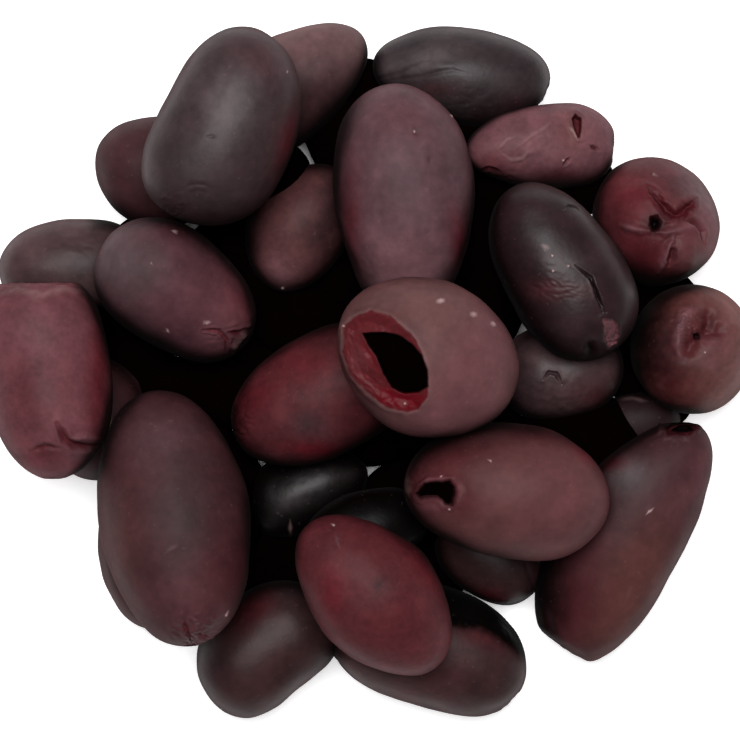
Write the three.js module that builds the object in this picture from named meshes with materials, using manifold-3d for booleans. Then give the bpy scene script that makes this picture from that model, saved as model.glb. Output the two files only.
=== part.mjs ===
// A loose heap of pitted olives, lying on a flat surface as it was tipped out.
// Millimetres, +Z up, the surface at z = 0. The heap is one solid: a low hidden core with every
// olive that shows fused on at true size. Each olive is let down from above until it touches the
// surface or an olive below it, so only its plan position, its direction and its size are given.

import * as THREE from 'three';
import { mergeVertices } from 'three/addons/utils/BufferGeometryUtils.js';
import Module from 'manifold-3d';

const wasm = await Module();
wasm.setup();

// ---------------------------------------------------------------- driving dimensions

const OLIVE_SIDES = 12; // facets round an olive
const OLIVE_RINGS = 10; // facets along an olive
const CORE_SIDES = 10;
const CORE_RINGS = 6;
const HOLLOW_SIDES = 8;
const HOLLOW_RINGS = 5;

const PRESS = 0.3; // how deep soft olives press into each other and flatten on the surface
const GRID = 0.5; // spacing of the test points when an olive is let down
const SLAB = 60; // side of the block that slices an end off
const SPAN = 300; // side of the block that the heap keeps of what lies above the surface

// What an olive is unless its own row says otherwise. An end's roundness is 2 for a plain
// ellipsoid and more for a blunter end. The front is the end that the heading points to.
const PLAIN_OLIVE = {
  tilt: 0, // degrees, front end up
  thick: 0.95, // height as a share of the width
  taper: 0, // how much narrower the front half is
  front: 2.3, // roundness of the front end
  back: 2.3, // roundness of the back end
  bend: 0, // sideways sweep of both ends, mm
  slices: [], // ends cut off flat
  hollows: [], // stone holes and tears
};

// Olives from the bottom of the heap up: x, y, length and width in mm, heading and tilt in degrees.
const OLIVES = [
  // on the surface, left and upper left
  { x: -27.3, y: 26, heading: 180, length: 16.4, width: 14.4, bend: -0.7 },
  { x: -10.8, y: 36.4, heading: 35, length: 24.1, width: 13.7, taper: 0.11, front: 2, back: 2.4 },
  { x: -38.3, y: 13.4, heading: 6, length: 20.1, width: 12.4, taper: 0.06 },
  { x: -35.3, y: -6.4, heading: 85, length: 16, width: 12.5 },
  { x: -29, y: -24, heading: -80, length: 19.5, width: 12.3 },
  // on the surface, lower edge
  {
    x: -13.2, y: -35.9, heading: 38, length: 20.2, width: 14.4,
    taper: 0.03, front: 2.8, back: 2.8, bend: -1.1,
  },
  {
    x: 7.9, y: -35.9, heading: -18, length: 25.7, width: 15.7, front: 2.7, back: 3.3, bend: -0.7,
    slices: [{ heading: -47, rise: 8, at: 11.5 }],
    hollows: [{ at: [8, 3.2, 3], heading: -30, length: 7, width: 4, thick: 6 }],
  },
  { x: 15.6, y: -24.2, heading: -31, length: 15.1, width: 11.1, taper: -0.03, front: 2.7 },
  // on the surface, right edge
  { x: 35, y: -6.8, heading: 10, length: 11, width: 8.1 },
  {
    x: 32.7, y: -21.9, heading: 60, tilt: 7, length: 35.6, width: 16.2, thick: 0.84,
    taper: 0.08, front: 2.1, back: 2.1, bend: -1.3,
    slices: [{ heading: -123, rise: 5, at: 14.9 }],
    hollows: [{ at: [6.5, 14.1, 4], heading: 60, tilt: 30, length: 8, width: 4.2 }],
  },
  {
    x: 41.4, y: 2.8, heading: 8, tilt: 70, length: 16.6, width: 16.9,
    front: 2, back: 1.6, bend: 0.5,
    hollows: [
      { at: [1.7, 0.8, 8], heading: 62, length: 7, width: 1.6, thick: 4 },
      { at: [2.7, 1.2, 8], heading: 8, length: 7, width: 1.6, thick: 4 },
      { at: [1.3, 0.6, 8], heading: 0, length: 3, width: 2.6, thick: 5 },
    ],
  },
  {
    x: 37.2, y: 18.6, heading: 31, tilt: 65, length: 15.4, width: 17.1,
    front: 2, back: 1.8, bend: -2.5,
    hollows: [
      { at: [1.1, -0.7, 8.4], heading: -50, length: 11, width: 6.5, thick: 4 },
      { at: [3.3, 2.5, 8.2], heading: 30, length: 7, width: 3.6, thick: 4 },
      { at: [-0.1, 0.3, 6.8], heading: 0, length: 3.4, width: 3, thick: 6 },
    ],
  },
  // on the surface, upper right
  {
    x: 11.9, y: 38.2, heading: -6.5, length: 23.1, width: 12.9,
    taper: -0.05, front: 2.1, back: 1.9, bend: 0.5,
    slices: [{ heading: -29, rise: -6, at: 10.1 }],
  },
  {
    x: 22, y: 28.8, heading: 3.5, tilt: -18, length: 20.3, width: 10.7,
    taper: -0.06, front: 3.5, back: 1.7, bend: -0.3,
    slices: [{ heading: -2, rise: 8, at: 8.9 }],
    hollows: [
      { at: [4.1, 2.1, 3], heading: 104, length: 4.2, width: 1.1, thick: 3 },
      { at: [6.5, -0.9, 3], heading: 104, length: 2, width: 1.1, thick: 2 },
    ],
  },
  // on the surface, in the middle of the heap
  {
    x: -8.9, y: 18.6, heading: 237, length: 17.8, width: 13.3,
    taper: 0.08, front: 2.2, back: 1.7, bend: 0.6,
  },
  {
    x: 24.7, y: -0.3, heading: 10, length: 16.6, width: 12.7,
    hollows: [{ at: [-1.3, -0.4, 6], heading: -14, length: 2.6, width: 1.1, thick: 1 }],
  },
  { x: -8.7, y: -15.6, heading: 24, length: 17.4, width: 10.6 },
  { x: -0.5, y: -20.6, heading: 18, tilt: -12, length: 16.8, width: 10.1 },
  // the upper layer, anticlockwise from the top
  {
    x: -18.2, y: 30.6, heading: 66, length: 26, width: 17.3,
    taper: 0.12, front: 2.95, back: 2.85, bend: 1.2,
    hollows: [{ at: [-2.3, -9.5, 6.6], heading: -30, length: 2.4, width: 1.6, thick: 1.4 }],
  },
  {
    x: -24.6, y: 10, heading: -36, tilt: -24, length: 22.9, width: 15.2,
    taper: 0.18, front: 3.5, back: 2.1, bend: -0.3,
    hollows: [{ at: [7.5, -3.4, 3.4], heading: 60, length: 4, width: 1, thick: 1.6 }],
  },
  {
    x: -41, y: -0.8, heading: 103.5, tilt: -18, length: 27, width: 16.2,
    taper: -0.11, front: 4.5, back: 2.9, bend: 0.8,
    slices: [
      { heading: 90, rise: 4, at: 11.4 },
      { heading: -83, rise: 8, at: 13 },
    ],
    hollows: [{ at: [3.8, -9.4, 6], heading: 14, length: 5.4, width: 1.4, thick: 2.4 }],
  },
  {
    x: -24.7, y: -18.5, heading: -80, tilt: 12, length: 32.9, width: 19,
    front: 2, back: 1.9, bend: -0.4,
    hollows: [{ at: [2.4, -15.8, 5], heading: -80, length: 4, width: 2.2, thick: 4 }],
  },
  {
    x: 0.4, y: -28.1, heading: -47.5, tilt: -9, length: 24.3, width: 16,
    taper: -0.05, front: 1.6, back: 1.6, bend: -0.4,
  },
  {
    x: 17.3, y: -15.4, heading: 172, tilt: 6, length: 26.3, width: 17.1,
    taper: 0.05, front: 2.1, back: 2.2, bend: 0.3,
    hollows: [{ at: [-8.8, 0.5, 5], heading: 174, tilt: 40, length: 7, width: 2.8, thick: 3 }],
  },
  {
    x: 4.2, y: 21.4, heading: 93.5, tilt: 3, length: 30.5, width: 17.6,
    taper: -0.18, front: 1.9, back: 2.4, bend: 0.7,
    hollows: [{ at: [1.7, 8.4, 7.6], heading: 10, length: 1.4, width: 1, thick: 1 }],
  },
  {
    x: 24.3, y: 12.7, heading: -57, tilt: -3, length: 24.7, width: 15.2,
    taper: -0.12, front: 2.7, back: 2.6,
    hollows: [
      { at: [3.6, -2, 7.4], heading: -52, length: 10, width: 0.9, thick: 1.6 },
      { at: [1.1, 7.4, 5.8], heading: -20, length: 2, width: 1, thick: 1 },
      { at: [6.1, -8.4, 2.6], heading: -50, length: 3.2, width: 2.4, thick: 2 },
    ],
  },
  { x: -6.6, y: -3.5, heading: 207, tilt: -4, length: 23.7, width: 15.9, taper: 0.06, back: 2.9 },
  // the topmost olive, its near end sliced off over the wide stone hole
  {
    x: 7.2, y: 1.6, heading: 154, tilt: 20, length: 24.3, width: 19.5,
    front: 1.8, back: 1.9, bend: -0.4,
    slices: [{ heading: 212, rise: 39, at: 6.7 }],
    hollows: [{ at: [-3.4, -0.3, 2.6], heading: 200, tilt: 35, length: 17, width: 9, thick: 6 }],
  },
];

// The hidden core: low domes standing on the surface under the upper olives and in the gaps.
const CORE = [
  { x: 7, y: -9, heading: 0, length: 34, width: 32, height: 8 }, // under the middle
  { x: -14, y: 25.5, heading: 0, length: 13, width: 10, height: 12 }, // upper left
  { x: 4.2, y: 18.8, heading: 90, length: 26, width: 11, height: 8 }, // top
  { x: 27.5, y: -9.5, heading: 0, length: 18, width: 14, height: 8.5 }, // right
  { x: 15.5, y: 13, heading: 100, length: 20, width: 9, height: 7 }, // upper right
  { x: 27.6, y: 24.2, heading: 0, length: 9, width: 8, height: 7 }, // between the upper right olives
  { x: 38.5, y: -3.5, heading: 0, length: 8, width: 8, height: 5 }, // right edge
  { x: -40.3, y: 4.5, heading: 0, length: 10, width: 14, height: 9 }, // left edge
  { x: -28.6, y: 14, heading: 0, length: 12, width: 13, height: 8 }, // left
  { x: -30.5, y: 3, heading: 0, length: 10, width: 13, height: 7 }, // between the left olives
  { x: -22, y: -3, heading: 0, length: 20, width: 10, height: 8 }, // left of the middle
  { x: -9.5, y: 6.5, heading: 0, length: 14, width: 10, height: 7 }, // above the middle
  { x: -21.4, y: -17, heading: 0, length: 18, width: 20, height: 10 }, // lower left
  { x: -14.5, y: -25, heading: 0, length: 9, width: 12, height: 6 }, // lower left gap
  { x: -4.5, y: 31.5, heading: 110, length: 17, width: 9, height: 7 }, // top gap
  { x: -18, y: 16, heading: 30, length: 13, width: 10, height: 6 }, // upper left gap
  { x: -4, y: 12, heading: 0, length: 9, width: 9, height: 5 }, // gap above the middle
  { x: 15.5, y: 23.5, heading: 90, length: 14, width: 9, height: 7 }, // upper right gap
  { x: 13, y: 31.5, heading: 0, length: 11, width: 8, height: 7.5 }, // small gap at the top
  { x: 33.8, y: 0.5, heading: 90, length: 10, width: 6, height: 5 }, // right gap
  { x: 38, y: 11, heading: -30, length: 12, width: 6, height: 4.5 }, // gap at the right edge
  { x: -15.6, y: 2.5, heading: 0, length: 9, width: 7, height: 5 }, // left gap
  { x: 9, y: -25.8, heading: 0, length: 9, width: 8, height: 5 }, // bottom gap
  { x: -10.5, y: -24.5, heading: 90, length: 9, width: 7, height: 5 }, // small gap at the bottom
  { x: -3, y: -29, heading: 0, length: 10, width: 10, height: 12 }, // bottom
];

// ---------------------------------------------------------------- directions and contact

const radians = (degrees) => (degrees * Math.PI) / 180;

// The unit vector at a compass-like heading (anticlockwise from +X) and a rise above level.
function direction(heading, rise) {
  const level = Math.cos(radians(rise));
  return new THREE.Vector3(
    Math.cos(radians(heading)) * level,
    Math.sin(radians(heading)) * level,
    Math.sin(radians(rise)),
  );
}

// The turn that takes local x along the olive, y to its side and z to its top.
function turn(heading, tilt) {
  const along = direction(heading, tilt);
  const side = direction(heading + 90, 0);
  const top = new THREE.Vector3().crossVectors(along, side);
  return new THREE.Matrix4().makeBasis(along, side, top);
}

// The six numbers of the quadric that stands for an olive in contact: its ellipsoid, less PRESS.
function contactShape(olive) {
  const basis = turn(olive.heading, olive.tilt).elements;
  const halves = [
    olive.length / 2 - PRESS,
    olive.width / 2 - PRESS,
    (olive.width * olive.thick) / 2 - PRESS,
  ];
  const entry = (row, column) => halves.reduce(
    (sum, half, axis) => sum + (basis[4 * axis + row] * basis[4 * axis + column]) / half ** 2,
    0,
  );
  return {
    xx: entry(0, 0), yy: entry(1, 1), zz: entry(2, 2), xy: entry(0, 1), xz: entry(0, 2), yz: entry(1, 2),
    halfHeight: Math.hypot(...halves.map((half, axis) => half * basis[4 * axis + 2])),
  };
}

// Height of the upper (side = 1) or lower (side = -1) face over a point beside the centre.
function faceHeight(shape, dx, dy, side) {
  const slope = shape.xz * dx + shape.yz * dy;
  const rest = shape.xx * dx * dx + 2 * shape.xy * dx * dy + shape.yy * dy * dy - 1;
  const root = slope * slope - shape.zz * rest;
  return root < 0 ? NaN : (side * Math.sqrt(root) - slope) / shape.zz;
}

// The height at which an olive that is let down comes to lie.
function restingHeight(olive, below) {
  const shape = contactShape(olive);
  const reach = Math.max(olive.length, olive.width) / 2;
  let height = shape.halfHeight;
  for (let dx = -reach; dx <= reach; dx += GRID) {
    for (let dy = -reach; dy <= reach; dy += GRID) {
      const under = faceHeight(shape, dx, dy, -1);
      for (const other of below) {
        const top = faceHeight(other.shape, olive.x + dx - other.x, olive.y + dy - other.y, 1);
        if (other.z + top - under > height) {
          height = other.z + top - under;
        }
      }
    }
  }
  return height;
}

// ---------------------------------------------------------------- solids

function solidOf(geometry) {
  const bare = geometry.clone();
  bare.deleteAttribute('normal');
  bare.deleteAttribute('uv');
  const merged = mergeVertices(bare, 1e-5);
  return new wasm.Manifold(new wasm.Mesh({
    numProp: 3,
    vertProperties: new Float32Array(merged.attributes.position.array),
    triVerts: new Uint32Array(merged.index.array),
  }));
}

// Radius at a place t along the olive, from -1 at the back tip to 1 at the front tip.
function profile(olive, t) {
  const roundness = t > 0 ? olive.front : olive.back;
  return Math.sqrt(Math.max(0, 1 - Math.abs(t) ** roundness)) * (1 - olive.taper * t);
}

function oliveBody(olive) {
  const geometry = new THREE.SphereGeometry(1, OLIVE_SIDES, OLIVE_RINGS);
  const points = geometry.attributes.position;
  for (let i = 0; i < points.count; i += 1) {
    const t = THREE.MathUtils.clamp(points.getY(i), -1, 1);
    const round = Math.sqrt(1 - t * t) || 1;
    const radius = profile(olive, t) / round;
    points.setXYZ(
      i,
      (t * olive.length) / 2,
      (points.getZ(i) * radius * olive.width) / 2 + olive.bend * (t * t - 1 / 3),
      (points.getX(i) * radius * olive.width * olive.thick) / 2,
    );
  }
  geometry.applyMatrix4(turn(olive.heading, olive.tilt));
  geometry.translate(olive.x, olive.y, olive.z);
  return solidOf(geometry);
}

// A block whose near face cuts an end off, at a distance from the olive's centre.
function sliceBody(olive, slice) {
  const geometry = new THREE.BoxGeometry(SLAB, SLAB, SLAB);
  geometry.translate(slice.at + SLAB / 2, 0, 0);
  geometry.applyMatrix4(turn(slice.heading, slice.rise));
  geometry.translate(olive.x, olive.y, olive.z);
  return solidOf(geometry);
}

// An ellipsoid that is taken out, placed from the olive's centre.
function hollowBody(olive, hollow) {
  const geometry = new THREE.SphereGeometry(0.5, HOLLOW_SIDES, HOLLOW_RINGS);
  const thick = hollow.thick ?? hollow.width;
  geometry.scale(hollow.length, hollow.width, thick);
  geometry.applyMatrix4(turn(hollow.heading, hollow.tilt ?? 0));
  geometry.translate(olive.x + hollow.at[0], olive.y + hollow.at[1], olive.z + hollow.at[2]);
  return solidOf(geometry);
}

function wholeOlive(olive) {
  let body = oliveBody(olive);
  for (const slice of olive.slices) {
    body = body.subtract(sliceBody(olive, slice));
  }
  for (const hollow of olive.hollows) {
    body = body.subtract(hollowBody(olive, hollow));
  }
  return body;
}

function coreDome(dome) {
  const geometry = new THREE.SphereGeometry(0.5, CORE_SIDES, CORE_RINGS);
  geometry.scale(dome.length, dome.width, 2 * dome.height);
  geometry.rotateZ(radians(dome.heading));
  geometry.translate(dome.x, dome.y, 0);
  return solidOf(geometry);
}

// ---------------------------------------------------------------- the heap

function letDown(rows) {
  const placed = [];
  for (const row of rows) {
    const olive = { ...PLAIN_OLIVE, ...row };
    olive.z = restingHeight(olive, placed);
    olive.shape = contactShape(olive);
    placed.push(olive);
  }
  return placed;
}

function heapGeometry() {
  const above = new THREE.BoxGeometry(SPAN, SPAN, SPAN);
  above.translate(0, 0, SPAN / 2);
  const bodies = [...CORE.map(coreDome), ...letDown(OLIVES).map(wholeOlive)];
  const heap = bodies.reduce((sum, body) => sum.add(body)).intersect(solidOf(above));
  const mesh = heap.getMesh();
  const geometry = new THREE.BufferGeometry();
  geometry.setAttribute('position', new THREE.BufferAttribute(mesh.vertProperties, 3));
  geometry.setIndex(new THREE.BufferAttribute(mesh.triVerts, 1));
  return geometry;
}

const skin = new THREE.MeshStandardMaterial({ color: 0x4b3236, roughness: 0.45, metalness: 0 });
const heap = new THREE.Mesh(heapGeometry(), skin);
heap.name = 'olive_heap';

const part = new THREE.Group();
part.add(heap);

export default part;
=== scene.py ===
"""A loose heap of pitted olives, dressed for rendering.

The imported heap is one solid. Here it is replaced by the olives themselves, grouped by the colour
of their skin, and by the few olives that lie hidden under them. Every olive is let down from above
until it rests on the surface or on an olive below it, by the same rule as in the solid model.
"""

import math

import bmesh
import bpy
import numpy as np
from bpy.props import FloatProperty, FloatVectorProperty, IntProperty, PointerProperty
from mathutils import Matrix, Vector, noise


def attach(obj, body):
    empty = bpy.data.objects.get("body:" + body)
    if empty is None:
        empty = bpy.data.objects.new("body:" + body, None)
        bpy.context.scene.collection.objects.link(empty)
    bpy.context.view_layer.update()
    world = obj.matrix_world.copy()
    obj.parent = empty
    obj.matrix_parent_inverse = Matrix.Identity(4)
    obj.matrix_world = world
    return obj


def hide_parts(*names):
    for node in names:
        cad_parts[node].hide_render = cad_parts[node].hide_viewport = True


bl_info = {
    "name": "Heap of olives",
    "version": (1, 0, 0),
    "blender": (4, 5, 0),
    "location": "View3D > Sidebar > Olives",
    "description": "Builds a loose heap of pitted olives with torn and cut ends",
    "category": "Add Mesh",
}

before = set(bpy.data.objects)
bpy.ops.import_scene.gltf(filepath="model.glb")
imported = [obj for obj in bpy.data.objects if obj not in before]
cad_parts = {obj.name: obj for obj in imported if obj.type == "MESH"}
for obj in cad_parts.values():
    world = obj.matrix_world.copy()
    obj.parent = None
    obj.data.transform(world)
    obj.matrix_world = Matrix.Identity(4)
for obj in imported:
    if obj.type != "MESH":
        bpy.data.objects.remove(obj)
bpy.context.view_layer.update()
HEAP_NODE = "olive_heap"
MM = 0.001

# ---------------------------------------------------------------- how an olive is described, in mm

PRESS = 0.3  # how deep soft olives press into each other
GRID = 0.5  # spacing of the test points when an olive is let down
# The next four values set the painted shade where olives lie close together.
SHADING_GAP = 6  # olives further apart than this don't darken each other
RAYS = 56  # directions in which the way out of the heap is tested
SOFT_EDGE = (1.25, 0.85)  # where a direction passes an olive's contact ellipsoid and where it hits
SOFT_AHEAD = 0.3  # how gradually an olive beside a point comes to count as in front of it
# The next three values set the near-black plugs of painted shade in the stone holes.
PLUGGED = 3.0  # openings deeper than this get a dark floor
PLUG_DEPTH = 0.9  # how far under its rim the dark floor of an opening lies
PLUG_THICKNESS = 0.6
DROP_HEIGHT = 0.08
FINE_REACH = (0.7, 0.35, 0.2)  # how far round a mark the faces are halved once, twice, three times
RING_SHARE = 0.66  # rings of faces along an olive for each face round it

PLAIN_OLIVE = {
    "tilt": 0.0,  # degrees, front end up
    "thick": 0.95,  # height as a share of the width
    "taper": 0.0,  # how much narrower the front half is
    "front": 2.3,  # roundness of the front end, 2 for an ellipsoid and more for a blunt end
    "back": 2.3,
    "bend": 0.0,  # sideways sweep of both ends
    # painted glow: the next value reddens the sides, standing in for light shining through the
    # flesh
    "blush": 0.35,  # how much redder the skin is on the sides
    "ends": (),  # ends that are cut or torn off
    # each drop is raised a little and also painted pale, as a glint
    "drops": (),  # places of tiny drops of brine
}


def olive(kind, tone, x, y, heading, length, width, skin=(), **rest):
    """One olive: its middle in plan, the way its front end points, its size and its marks."""
    row = dict(PLAIN_OLIVE)
    row.update(kind=kind, tone=tone, x=x, y=y, heading=heading, length=length, width=width, **rest)
    row["marks"] = [m for m in skin if m["form"] != "stain"]
    row["stains"] = [m for m in skin if m["form"] == "stain"]
    return row


def end(heading, rise, at, shoulder=0.5, rough=0.12):
    """An end that is cut or torn off across heading and rise, at a distance from the middle.

    shoulder rounds its edge, and rough is how uneven its face is.
    """
    return {"heading": heading, "rise": rise, "at": at, "shoulder": shoulder, "rough": rough}


def mark(form, **values):
    plain = {"tone": None, "strength": 1.0, "flesh": 0.0, "turn": 0.0, "edge": 0.0}
    return {"form": form, **plain, **values}


def mouth(rim, depth, wall, lip=0.0, ragged=0.12, grit=0.0, blur=0.12, fine=3, **rest):
    """An opening sunk straight down inside a closed rim. wall is how far in its side slopes.

    ragged and grit are how uneven its rim and its floor are, blur is how softly its colour ends,
    and fine is how often the faces round its rim are halved.
    """
    sizes = {"depth": depth, "wall": wall, "lip": lip, "ragged": ragged, "grit": grit, "blur": blur}
    return mark("mouth", rim=rim, fine=fine, **sizes, **rest)


def fold(points, width, depth, lip=0.15, fine=3, **rest):
    """A crease along a line with a lip on both sides, or a ridge where depth is negative."""
    return mark("fold", points=points, width=width, depth=depth, lip=lip, fine=fine, **rest)


def dent(x, y, length, width, depth, edge=2.0, **rest):
    """A hollow, or a swelling where depth is negative. edge is the steepness of its side."""
    return mark("dent", x=x, y=y, length=length, width=width, depth=depth, edge=edge, **rest)


def crumple(x, y, length, width, height, grain, **rest):
    """A wrinkled patch. grain is the spacing of its wrinkles along and across."""
    return mark("crumple", x=x, y=y, length=length, width=width, depth=height, grain=grain, **rest)


def stain(tone, x, y, length, width, strength, turn=0.0):
    """A patch of another colour: the skin's own, or painted shade, sheen or glow, as said where it
    is given.
    """
    return mark(
        "stain", tone=tone, x=x, y=y, length=length, width=width, strength=strength, turn=turn
    )


# Skin and flesh colours without their sheen, and colours for painted sheen, glints and shade: red,
# green and blue from 0 to 255.
TONES = {
    "black": (36, 20, 23),
    "charcoal": (44, 35, 37),
    "grey_brown": (50, 30, 31),
    "slate": (52, 38, 40),
    "plum": (58, 32, 35),
    "purple": (72, 43, 49),
    "mauve": (80, 56, 61),
    # painted sheen: a grey veil laid where highlights fall
    "painted_sheen": (84, 74, 76),
    "brown": (82, 48, 49),
    "russet": (76, 33, 37),
    "dusty_rose": (100, 60, 65),
    "rose": (108, 72, 77),
    "rust": (86, 50, 46),
    "blood": (66, 20, 25),
    "crimson": (92, 14, 26),
    "flesh": (82, 26, 30),
    "wet_flesh": (84, 6, 16),
    # painted shade: near black, for holes, creases, gaps and olives lying in shade
    "deep": (4, 1, 1),
    "pale": (150, 118, 116),
    "tan": (89, 59, 59),
    "clay": (98, 62, 57),
    "ash_rose": (96, 70, 71),
    "umber": (68, 49, 51),
    "heather": (90, 51, 56),
    "dusk": (101, 65, 70),
    # painted glint: the pale speck of light on a drop of brine
    "drop": (170, 140, 140),
}

# ---------------------------------------------------------------- the olives

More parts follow.
